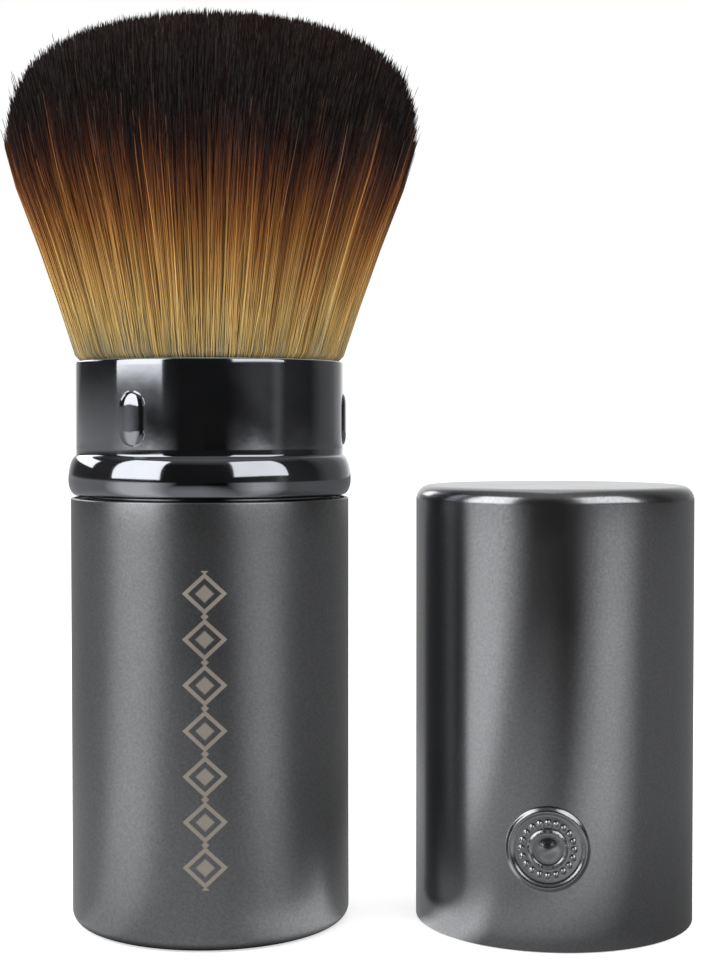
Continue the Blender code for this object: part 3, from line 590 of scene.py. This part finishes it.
def hair_sector(index, head):
    """One sector of the combed hair as a mesh, with the dark wedge of painted shade behind its strands."""
    points, shade, creep, sector, rings = head
    mine = sector == index
    count = int(mine.sum())
    strands = points[mine].reshape(-1, 3)
    quads, tips = strand_faces(count, rings)
    shade_wedge = wedge_points(index * 360 / SECTORS, (index + 1) * 360 / SECTORS, SHADE_WEDGE_SHARE)
    sides, low, high = wedge_faces(len(shade_wedge), len(strands))
    name = f"bristles_{index + 1:02d}"
    mesh = fill_mesh(name, np.vstack((strands, shade_wedge.reshape(-1, 3))), [quads, tips, sides, low, high])
    write_strand_map(mesh, shade[mine], creep[mine], rings)
    return mesh


def fill_inputs(node, inputs):
    """Fills a node's inputs, named, numbered or in order, with values, outputs or other nodes.

    A node stands for its first output that is in use, and None leaves an input as it is.
    """
    for key, value in inputs.items() if isinstance(inputs, dict) else enumerate(inputs):
        if isinstance(value, bpy.types.Node):
            value = next(output for output in value.outputs if output.enabled)
        if isinstance(value, bpy.types.NodeSocket):
            node.id_data.links.new(value, node.inputs[key])
        elif value is not None:
            node.inputs[key].default_value = value


def add_node(tree, kind, inputs=(), stops=(), **settings):
    """Adds a node with its settings, values and links, and with a ramp's stops where it has them.

    Where a kind has operations, the one to do follows it, as in "Math ADD".
    """
    kind, _, operation = kind.partition(" ")
    node = tree.nodes.new("ShaderNode" + kind)
    if operation:
        node.operation = operation
    for name, value in settings.items():
        setattr(node, name, value)
    fill_inputs(node, inputs)
    for at, (position, colour) in enumerate(stops):
        elements = node.color_ramp.elements
        element = elements[at] if at < 2 else elements.new(position)
        element.position, element.color = position, colour
    return node


def start_finish(name, values, *patterns):
    """A new Principled material, its add_node, its shader, its object place and its noise patterns.

    Each pattern is given by its size in mm and its detail. What is the same all over is set on the shader.
    """
    material = bpy.data.materials.new(name)
    material.use_nodes = True
    add = functools.partial(add_node, material.node_tree)
    shader = material.node_tree.nodes["Principled BSDF"]
    fill_inputs(shader, values)
    place = add("TexCoord").outputs["Object"]
    noises = [add("TexNoise", {"Vector": place, "Scale": 1 / (size_mm * MM), "Detail": detail})
              for size_mm, detail in patterns]
    return material, add, shader, place, *noises


def lay_surface(add, shader, tone, colours, gloss, roughness, relief, strength, depth_mm):
    """Joins a finish's patterns to its shader, and hands back its colour and its roughness.

    tone mixes the dark colour with the light one, gloss carries the roughness from its first value to its
    second, and relief is a bump of a real depth. Noise keeps mostly within NOISE_SPAN, which is what is carried.
    """
    share = add("MapRange", (tone, *NOISE_SPAN, 0, 1))
    dark, light = (linear(code) for code in colours)
    colour = add("Mix", {0: share, 6: dark, 7: light}, data_type="RGBA")
    rough = add("MapRange", (gloss, *NOISE_SPAN, *roughness))
    bump = add("Bump", {"Height": relief, "Strength": strength, "Distance": depth_mm * MM})
    fill_inputs(shader, {"Base Color": colour, "Roughness": rough, "Normal": bump})
    return colour, rough


def chain_mask(add, place):
    """Where the etched chain lies: open lozenges |x|/a + |z|/b near 1, and a small solid one between them.

    x runs round the wall from the chain's middle line and z up it, both in millimetres. A square tie
    |x| + |z| < 0.5 joins the lozenges.
    """
    facing = add("Mapping", {"Vector": place, "Rotation": (0, 0, -math.radians(CHAIN_TURN))})
    parts = add("SeparateXYZ", (facing,)).outputs
    bearing = add("Math ARCTAN2", (parts["Y"], parts["X"]))
    across = add("Math MULTIPLY", (bearing, CAN_RADIUS))
    across = add("Math ABSOLUTE", (across,))
    up = add("Math MULTIPLY_ADD", (parts["Z"], 1 / MM, -CHAIN_LOW))
    half = CHAIN_PITCH * CHAIN_COUNT / 2
    within = add("Math COMPARE", (up, half, half))
    step = add("Math WRAP", (up, CHAIN_PITCH / 2, -CHAIN_PITCH / 2))
    step = add("Math ABSOLUTE", (step,))
    from_middle = add("Math SUBTRACT", (CHAIN_PITCH / 2, step))
    lozenges = []
    for half_width, half_height in (CHAIN_LOZENGE, CHAIN_HEART):
        height = add("Math MULTIPLY", (from_middle, 1 / half_height))
        lozenges.append(add("Math MULTIPLY_ADD", (across, 1 / half_width, height)))
    off_line = add("Math SUBTRACT", (lozenges[0], 0.86))
    off_line = add("Math ABSOLUTE", (off_line,))
    tie = add("Math ADD", (across, step))
    mask = 0
    # Each row: a distance, how far the mark reaches, and where the metal is clear again
    for distance, edge, clear in ((off_line, 0.11, 0.15), (lozenges[1], 0.85, 1.1), (tie, 0.42, 0.55)):
        drawn = add("MapRange", (distance, edge, clear, 1, 0))
        mask = add("Math MAXIMUM", (drawn, mask))
    return add("Math MULTIPLY", (mask, within))


def blasted_anodised(name, light, dark, roughness, etched=None):
    """Aluminium, bead blasted and dark anodised: an even satin grey that blurs what it reflects.

    The blast leaves pits about 0.1 mm across, drawn at 0.3 mm so that they show. Handling leaves broad, very
    faint clouds in the gloss. Laser marks break the dye and show as a warm matt grey.
    """
    material, add, shader, place, pits, clouds = start_finish(name, {"Metallic": 1.0}, (0.3, 2), (14, 3))
    spread = (roughness - 0.02, roughness + 0.03)
    colour, rough = lay_surface(add, shader, pits, (dark, light), clouds, spread, pits, 0.15, 0.008)
    if etched:
        mask = chain_mask(add, place)
        marked = add("Mix", {0: mask, 6: colour, 7: linear(etched)}, data_type="RGBA")
        matt = add("Math MULTIPLY_ADD", (mask, 0.2, rough))
        fill_inputs(shader, {"Base Color": marked, "Roughness": matt})
    return material


def polished_plate(name, light, dark, roughness, wave_mm):
    """Drawn metal, polished and dark chrome plated: near mirror, with the faint orange peel of a drawn wall.

    Finger marks leave soft patches that are a little less sharp.
    """
    material, add, shader, _, peel, marks = start_finish(name, {"Metallic": 1.0}, (wave_mm, 1), (6, 4))
    lay_surface(add, shader, marks, (dark, light), marks, (roughness, roughness + 0.05), peel, 0.25, 0.004)
    return material


def moulded_plastic(name, light, dark, roughness, grain_mm, strength=0.4):
    """Injection-moulded plastic: an even colour, a fine spark-eroded grain and slow changes of gloss."""
    values = {"Metallic": 0.0, "IOR": 1.49}
    material, add, shader, _, fine, slow = start_finish(name, values, (grain_mm, 2), (9, 2))
    spread = (roughness - 0.05, roughness + 0.07)
    lay_surface(add, shader, slow, (dark, light), fine, spread, fine, strength, 0.02)
    return material


def turned_metal(name, light, dark, roughness, line_mm):
    """Metal pressed or turned on a lathe: fine rings round the axis, sharper one way than the other.

    The tool's rings are about 0.05 mm apart, drawn wider so that they show.
    """
    values = {"Metallic": 1.0}
    material, add, shader, place, lines, spots = start_finish(name, values, (line_mm, 3), (5, 3))
    squeezed = add("Mapping", {"Vector": place, "Scale": (0.06, 0.06, 1.0)})
    fill_inputs(lines, {"Vector": squeezed})
    lay_surface(add, shader, spots, (dark, light), lines, (roughness, roughness + 0.12), lines, 0.4, 0.015)
    return material


def cast_resin(name, light, dark):
    """Amber epoxy cast on the roots: clear gloss with slow clouds and a few small bubbles, 0.9 mm apart."""
    values = {"IOR": 1.55, "Coat Weight": 0.5, "Coat Roughness": 0.08}
    material, add, shader, place, clouds = start_finish(name, values, (3, 4))
    bubbles = add("TexVoronoi", {"Vector": place, "Scale": 1 / (0.9 * MM)})
    relief = add("MapRange", (bubbles, 0, 0.2, 0, 1))
    lay_surface(add, shader, clouds, (dark, light), clouds, (0.18, 0.35), relief, 0.3, 0.05)
    return material


def dipped_fibre(name, root, tip):
    """Crimped synthetic fibre, dyed by dipping: straw at the collar, red-brown above, near black at the tips.

    The dye creeps up each strand to its own height, so the bands are ragged. Strands differ in depth of colour.
    A few strands are lighter, less dyed and pale, as painted highlights of single glossy hairs, and the wedge
    between the strands is darkened as painted shade.
    """
    values = {"Roughness": 0.55, "IOR": 1.55, "Specular IOR Level": 0.09}
    material, add, shader, place = start_finish(name, values)
    shade = add("Attribute", attribute_name="shade").outputs["Fac"]
    creep = add("Attribute", attribute_name="creep").outputs["Fac"]
    height = add("SeparateXYZ", (place,)).outputs["Z"]
    dyed_height = add("Math MULTIPLY_ADD", (creep, MM, height))
    share = add("MapRange", (dyed_height, DYE_LOW * MM, DYE_HIGH * MM, 0, 1))
    stops = [(position, linear(code)) for position, code in ((0.0, root), *DYE_BANDS, (1.0, tip))]
    dye = add("ValToRGB", (share,), stops)
    depth = add("MapRange", (shade, 0, 1.35, 0.58, 1.62))
    # Painted shade: the wedge between the strands, marked by a shade of -1, is darkened further
    shade_wedge = add("Math LESS_THAN", (shade, -0.5))
    depth = add("Math MULTIPLY_ADD", (shade_wedge, -0.3, depth))
    # Painted highlights: the lightest strands are mixed toward a pale beige, for the sheen on single glossy
    # hairs
    pale = add("MapRange", (shade, 0.9, 1.35, 0, 0.12))
    colour = add("Mix", {0: pale, 6: dye, 7: linear("#A8977E")}, data_type="RGBA")
    shaded = add("VectorMath SCALE", {0: colour, "Scale": depth})
    fill_inputs(shader, {"Base Color": shaded})
    return material


def hex_colour(name, what, default):
    """A setting that holds a colour as an sRGB hex value."""
    return bpy.props.StringProperty(name=name, description="sRGB hex colour of " + what, default=default)


class FaceBrushCase(bpy.types.PropertyGroup):
    """Sizes and colours of the case: can, collar, sliding tube and cap."""

    can_colour: hex_colour("Can colour", "the anodised can", "#8F9092")
    # The cap's colour is set lighter than the can's though both are the same anodised metal: painted light, so
    # that the cap's highlights come out brighter
    cap_colour: hex_colour("Cap colour", "the anodised cap", "#9C9D9F")
    can_roughness: bpy.props.FloatProperty(
        name="Can roughness", description="How far the satin metal blurs what it reflects", default=0.3,
        min=0.05, max=1, subtype="FACTOR")
    etching_colour: hex_colour("Etching colour", "the laser marks", "#CFC6BA")
    plate_colour: hex_colour("Collar colour", "the polished collar", "#96989D")
    peel_size: bpy.props.FloatProperty(
        name="Orange peel", description="Size of the faint waves in the polished wall", default=1.1 * MM,
        min=0.1 * MM, max=10 * MM, unit="LENGTH")


class FaceBrushHair(bpy.types.PropertyGroup):
    """Number, thickness and colour of the bristles."""

    strand_count: bpy.props.IntProperty(
        name="Strands", description="Strands in the whole head", default=30000, min=1000, max=40000)
    strand_thickness: bpy.props.FloatProperty(
        name="Thickness", description="Width of a strand at its thickest", default=0.12 * MM,
        min=0.05 * MM, max=1 * MM, unit="LENGTH")
    looseness: bpy.props.FloatProperty(
        name="Looseness", description="How far strands stray from their line", default=1, min=0, max=4)
    seed: bpy.props.IntProperty(name="Seed", description="Chooses the strands' random bends", default=11, min=0)
    root_colour: hex_colour("Root colour", "the hair at the collar", "#9F967B")
    tip_colour: hex_colour("Tip colour", "the dipped tips", "#1A0A07")


class FaceBrushStage(bpy.types.PropertyGroup):
    """Camera and light of the studio."""

    lens: bpy.props.FloatProperty(
        name="Lens", description="Focal length on a sensor 36 mm high", default=67.53, min=10, max=300)
    key_power: bpy.props.FloatProperty(
        name="Left light", description="Strength of the big softbox at the left", default=1.0, min=0, max=20)
    fill_power: bpy.props.FloatProperty(
        name="Right light", description="Strength of the softbox at the right", default=0.75, min=0, max=20)
    rear_power: bpy.props.FloatProperty(
        name="Rear light", description="Strength of the low panel behind at the left", default=1.0, min=0,
        max=20)


def link_object(data):
    """A new object at the origin, in the scene, named as its data is."""
    made = bpy.data.objects.new(data.name, data)
    bpy.context.scene.collection.objects.link(made)
    return made


def add_piece(mesh, material, body, slot, *nodes):
    """Links a mesh as a piece, gives it its finish, and lets it ride on its body."""
    piece = link_object(mesh)
    mesh.materials.append(material)
    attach(piece, body)
    if nodes:
        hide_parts(*nodes)
    return piece


def keep_unmirrored(*pieces):
    """Keeps pieces out of mirror reflections, because the brush and its cap were photographed apart.

    The can, collar and tube stay in them, so that the seam under the bead is dark.
    """
    for piece in pieces:
        piece.visible_glossy = False


class FACEBRUSH_OT_make_can(bpy.types.Operator):
    """Make the drawn can and the guide tube in it"""

    bl_idname = "facebrush.make_can"
    bl_label = "Make Can"

    def execute(self, context):
        case = context.scene.face_brush_case
        satin = blasted_anodised(
            "Blasted anodised can", case.can_colour, "#7E7F81", case.can_roughness, case.etching_colour)
        add_piece(turned("can_wall", can_profile()), satin, "base", "satin_gunmetal", "base_can")
        black = moulded_plastic("Black moulded nylon", "#2A2A2B", "#1B1B1C", 0.45, 0.4)
        angles = np.unique(np.concatenate([np.linspace(0, math.tau, 144, endpoint=False)] + [
            np.radians(turn) + side * (KEY_HALF_WIDTH + np.array([-1e-4, 1e-4])) / GUIDE_BORE
            for turn in KEY_TURNS for side in (-1, 1)]))
        guide = turned("guide_tube", liner_profile(), angles, keyed_swell)
        add_piece(guide, black, "base", "black_moulding", "guide_liner")
        return {"FINISHED"}


class FACEBRUSH_OT_make_collar(bpy.types.Operator):
    """Make the polished collar with its rolled bead and pips, and the sliding tube"""

    bl_idname = "facebrush.make_collar"
    bl_label = "Make Collar"

    def execute(self, context):
        case = context.scene.face_brush_case
        plate = polished_plate("Dark chrome plate", case.plate_colour, "#8E9095", 0.05, case.peel_size / MM)
        angles = fine_angles(PIP_TURNS, 7.5, 45, 210)
        collar = turned("collar_shell", collar_profile(), angles, pip_swell)
        add_piece(collar, plate, "sleeve", "polished_gunmetal", "collar")
        drawn = polished_plate("Drawn polished aluminium", "#98999C", "#8C8D90", 0.1, 2.0)
        tube = turned("sliding_tube", tube_profile())
        add_piece(tube, drawn, "sleeve", "tube_gunmetal", "slide_tube")
        return {"FINISHED"}


class FACEBRUSH_OT_make_cap(bpy.types.Operator):
    """Make the cap with its plain raised roundel, and the liner in it"""

    bl_idname = "facebrush.make_cap"
    bl_label = "Make Cap"

    def execute(self, context):
        case = context.scene.face_brush_case
        # The cap's metal is lighter than the can's as painted light, so that its highlights come out brighter
        satin = blasted_anodised("Blasted anodised cap", case.cap_colour, "#8F9093", case.can_roughness - 0.1)
        angles = fine_angles((ROUNDEL_TURN,), 19, 90, 230)
        place = (CAP_X, CAP_Y)
        shell = turned("cap_wall", cap_profile(), angles, roundel_swell, place)
        cap = add_piece(shell, satin, "cap", "cap_gunmetal", "cap_shell")
        pale = moulded_plastic("Natural polypropylene", "#DEDDD6", "#D2D1C9", 0.38, 0.5)
        liner = turned("cap_sleeve", cap_liner_profile(), centre=place)
        keep_unmirrored(cap, add_piece(liner, pale, "cap", "pale_moulding", "cap_liner"))
        return {"FINISHED"}


class FACEBRUSH_OT_make_hair(bpy.types.Operator):
    """Make the bristles, sector by sector, so that the raised tube can gather them"""

    bl_idname = "facebrush.make_hair"
    bl_label = "Make Hair"

    def execute(self, context):
        hair = context.scene.face_brush_hair
        fibre = dipped_fibre("Dipped synthetic fibre", hair.root_colour, hair.tip_colour)
        backing = turned("bristle_backing", backing_profile())
        keep_unmirrored(add_piece(backing, fibre, "base", "dipped_fibre", "bristles"))
        head = comb_hair(hair.strand_count, hair.strand_thickness / MM, hair.looseness, hair.seed)
        for index in range(SECTORS):
            piece = add_piece(hair_sector(index, head), fibre, "base", "dipped_fibre")
            keep_unmirrored(piece)
            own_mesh(piece)
        return {"FINISHED"}


class FACEBRUSH_OT_finish_hidden(bpy.types.Operator):
    """Give the inner pieces that keep their frame shape their own finishes"""

    bl_idname = "facebrush.finish_hidden"
    bl_label = "Finish Inner Pieces"

    def execute(self, context):
        finishes = {
            "base_weight": turned_metal("Zinc plated steel disc", "#BDBEC2", "#A4A6AA", 0.3, 0.5),
            "post_screw": turned_metal("Zinc plated screw", "#C6C7CA", "#ACAEB2", 0.24, 0.3),
            "brush_post": moulded_plastic("Grey moulded ABS", "#727376", "#66676A", 0.5, 0.5),
            "ferrule": turned_metal("Bare rolled aluminium", "#DFE0E2", "#CBCCCF", 0.22, 0.3),
            "glue_plug": cast_resin("Cast amber resin", "#C79A4A", "#A0742B"),
            "collar_insert": moulded_plastic("Black moulded acetal", "#3C3C3E", "#303032", 0.42, 0.4),
            "slider_ring": moulded_plastic("White moulded acetal", "#D0CFCB", "#C4C3BE", 0.34, 0.4, 0.25),
        }
        for name, finish in finishes.items():
            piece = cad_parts[name]
            piece.data.materials.clear()
            piece.data.materials.append(finish)
            keep_unmirrored(piece)
        return {"FINISHED"}


def add_softbox(name, azimuth_deg, distance, low, high, width, power):
    """A rectangular area light at an azimuth measured from the front (-Y) towards +X, facing the brush's axis.

    Its distance, lower and upper edge and width are in metres. Watts = SOFTBOX_LEVEL * power * area * pi, which
    gives the same brightness whatever its size.
    """
    light = bpy.data.lights.new(name, "AREA")
    light.shape = "RECTANGLE"
    light.size = width
    light.size_y = high - low
    light.energy = SOFTBOX_LEVEL * power * width * (high - low) * math.pi
    lamp = link_object(light)
    turn = math.radians(azimuth_deg)
    lamp.location = (distance * math.sin(turn), -distance * math.cos(turn), (low + high) / 2)
    lamp.visible_camera = False
    inward = Vector((0, 0, (low + high) / 2)) - Vector(lamp.location)
    lamp.rotation_euler = inward.to_track_quat("-Z", "Y").to_euler()


class FACEBRUSH_OT_make_stage(bpy.types.Operator):
    """Make the pale floor, the white surroundings, the softboxes and the camera"""

    bl_idname = "facebrush.make_stage"
    bl_label = "Make Stage"

    def execute(self, context):
        stage = context.scene.face_brush_stage
        self.make_floor()
        self.make_world(context.scene)
        add_softbox("left_softbox", -56, 0.32, 0.077, 0.44, 0.26, stage.key_power)
        add_softbox("right_softbox", 47, 0.32, 0.105, 0.44, 0.27, stage.fill_power)
        add_softbox("rear_left_softbox", -130, 0.35, 0.14, 0.26, 0.33, stage.rear_power)
        self.make_camera(context.scene, stage.lens)
        return {"FINISHED"}

    def make_floor(self):
        """A wide pale sheet under the object, white to sight, on which its soft shadow stays; in reflections it
        is black with painted light on it.
        """
        corners = [(x * FLOOR_REACH, y * FLOOR_REACH, FLOOR_LEVEL)
                   for x, y in ((-1, -1), (1, -1), (1, 1), (-1, 1))]
        mesh = fill_mesh("floor", corners, [np.array([[0, 1, 2, 3]])])
        material, add, shader, place, tone = start_finish("Pale seamless paper", {"Roughness": 0.9}, (30, 2))
        colours = {0: tone, 6: linear("#F4F4F4"), 7: linear("#FAFAFA")}
        fill_inputs(shader, {"Base Color": add("Mix", colours, data_type="RGBA")})
        path = add("LightPath").outputs
        looked = add("Math MAXIMUM", (path["Is Camera Ray"], path["Is Transmission Ray"]))
        looked = add("Math MULTIPLY", (looked, 0.55))
        glossy = path["Is Glossy Ray"]
        # Painted light: in reflections the paper shows painted pools of light and a painted shadow under the
        # can, not its lit shader
        painted_light_in_metal = add("Math MULTIPLY", (glossy, self.painted_paper_light(add, place)))
        level = add("Math MAXIMUM", (looked, painted_light_in_metal))
        glow = add("Emission", {"Strength": level})
        dark = add("BsdfTransparent", {"Color": (0, 0, 0, 1)})
        lit = add("MixShader", (glossy, shader, dark))
        output = material.node_tree.nodes["Material Output"]
        fill_inputs(output, {"Surface": add("AddShader", (lit, glow))})
        mesh.materials.append(material)
        link_object(mesh)

    def painted_paper_light(self, add, place):
        """How bright the paper is painted in the metal: the greatest of six stretches, with a painted shadow
        right under the can.

        Each row below is two measures with the span that each is carried from and to, and a stretch is their
        product. They are painted pools of light left and right of the brush, the paper behind those, the middle,
        which fades with distance, and a painted pool of light left of the cap.
        """
        parts = add("SeparateXYZ", (place,)).outputs
        ahead = add("Math MULTIPLY", (parts["Y"], -1.0))
        bearing = add("Math ARCTAN2", (parts["X"], ahead))
        from_cap = add("Math SUBTRACT", (parts["X"], CAP_X * MM))
        cap_bearing = add("Math ARCTAN2", (from_cap, ahead))
        distance = add("VectorMath LENGTH", (place,))
        lobes = []
        for source, shift in ((bearing, 1.0), (bearing, -0.82), (cap_bearing, 1.1)):
            off = add("Math ADD", (source, shift))
            lobes.append(add("Math ABSOLUTE", (off,)))
        near_left = (distance, 0.02, 0.07, 0.6, 1)
        near_right = (distance, 0.04, 0.13, 0.55, 1)
        level = 0
        for first, second in (
                ((lobes[0], 0.2, 0.65, 1.15, 0), near_left),
                ((bearing, -1.3, -0.9, 0.34, 0), near_left),
                ((lobes[1], 0.1, 0.5, 0.85, 0), near_right),
                ((bearing, 0.9, 1.2, 0, 0.22), near_right),
                ((distance, 0.08, 0.4, 0.45, 0.02), (parts["X"], 0, 0.06, 1, 0.3)),
                ((lobes[2], 0.2, 0.5, 1.2, 0), (parts["X"], 0.002, 0.02, 0, 1))):
            spans = [add("MapRange", span) for span in (first, second)]
            stretch = add("Math MULTIPLY", spans)
            level = add("Math MAXIMUM", (stretch, level))
        # Painted shadow: the paper in reflections goes dark right under the can's foot
        clear = add("MapRange", (distance, 0.0165, 0.0185, 0, 1))
        return add("Math MULTIPLY", (level, clear))

    def make_world(self, scene):
        """White where the camera looks, and for reflections white behind and a dark room in front."""
        world = bpy.data.worlds.new("Studio")
        scene.world = world
        world.use_nodes = True
        add = functools.partial(add_node, world.node_tree)
        path = add("LightPath").outputs
        parts = add("SeparateXYZ", (add("TexCoord").outputs["Generated"],)).outputs
        above = add("MapRange", (parts["Z"], 0.55, 0.9, 0, 0.25))
        mirror = add("Math MAXIMUM", (above, self.room_level(add, parts)))
        mirror = add("Math MULTIPLY", (mirror, path["Is Glossy Ray"]))
        plain = add("Math SUBTRACT", (1.0, path["Is Glossy Ray"]))
        level = add("Math MULTIPLY_ADD", (plain, 0.8, mirror))
        sight = add("Math MAXIMUM", (path["Is Camera Ray"], path["Is Transmission Ray"]))
        level = add("Math MAXIMUM", (level, sight))
        fill_inputs(world.node_tree.nodes["Background"], {"Color": linear("#FFFFFF"), "Strength": level})

    def room_level(self, add, parts):
        """How bright the room's walls are in the metal, by bearing from the front, which is half way along.

        It is dark in front, with a dim window strip and a pale wall at the right and white straight behind.
        At the left the far table edge glows below eye level.
        """
        ahead = add("Math MULTIPLY", (parts["Y"], -1.0))
        bearing = add("Math ARCTAN2", (parts["X"], ahead))
        along = add("MapRange", (bearing, -math.pi, math.pi, 0, 1))
        wall = add("ValToRGB", (along,), [(at, (level, level, level, 1)) for at, level in ROOM_WALLS])
        table = add("MapRange", (bearing, -1.15, -0.8, 0.45, 0))
        below = add("MapRange", (parts["Z"], -0.012, 0.032, 1, 0))
        table = add("Math MULTIPLY", (table, below))
        return add("Math MAXIMUM", (wall, table))

    def make_camera(self, scene, lens):
        """The camera at the photograph's viewing angle."""
        data = bpy.data.cameras.new("camera")
        data.sensor_fit = "VERTICAL"
        data.sensor_height = 36
        data.lens = lens
        camera = link_object(data)
        camera.location = CAMERA_PLACE
        camera.rotation_mode = "XYZ"
        camera.rotation_euler = (math.pi / 2 - CAMERA_PITCH, CAMERA_ROLL, CAMERA_TURN)
        scene.camera = camera


class FACEBRUSH_PT_pieces(bpy.types.Panel):
    """Lists the brush's settings and the buttons that make its pieces"""

    bl_label = "Face Brush"
    bl_space_type = "VIEW_3D"
    bl_region_type = "UI"
    bl_category = "Face Brush"

    def draw(self, context):
        for settings, operators in OPERATORS.items():
            box = self.layout.box()
            group = getattr(context.scene, settings)
            for name in group.__annotations__:
                box.prop(group, name)
            for operator in operators:
                box.operator(operator.bl_idname)


SETTINGS = {
    "face_brush_case": FaceBrushCase,
    "face_brush_hair": FaceBrushHair,
    "face_brush_stage": FaceBrushStage,
}

OPERATORS = {
    "face_brush_case": (FACEBRUSH_OT_make_can, FACEBRUSH_OT_make_collar, FACEBRUSH_OT_make_cap),
    "face_brush_hair": (FACEBRUSH_OT_make_hair, FACEBRUSH_OT_finish_hidden),
    "face_brush_stage": (FACEBRUSH_OT_make_stage,),
}

CLASSES = (*SETTINGS.values(), *(one for row in OPERATORS.values() for one in row), FACEBRUSH_PT_pieces)


def register():
    """Registers the classes and hangs the settings on the scene."""
    for one in CLASSES:
        bpy.utils.register_class(one)
    for name, group in SETTINGS.items():
        setattr(bpy.types.Scene, name, bpy.props.PointerProperty(type=group))


def unregister():
    """Takes the settings off the scene and unregisters the classes."""
    for name in SETTINGS:
        delattr(bpy.types.Scene, name)
    for one in reversed(CLASSES):
        bpy.utils.unregister_class(one)


def main():
    """Makes every piece in order."""
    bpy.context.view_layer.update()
    register()
    bpy.ops.facebrush.make_can()
    bpy.ops.facebrush.make_collar()
    bpy.ops.facebrush.make_cap()
    bpy.ops.facebrush.make_hair()
    bpy.ops.facebrush.finish_hidden()
    bpy.ops.facebrush.make_stage()
    bpy.context.scene.view_settings.view_transform = "Standard"


if __name__ == "__main__":
    main()
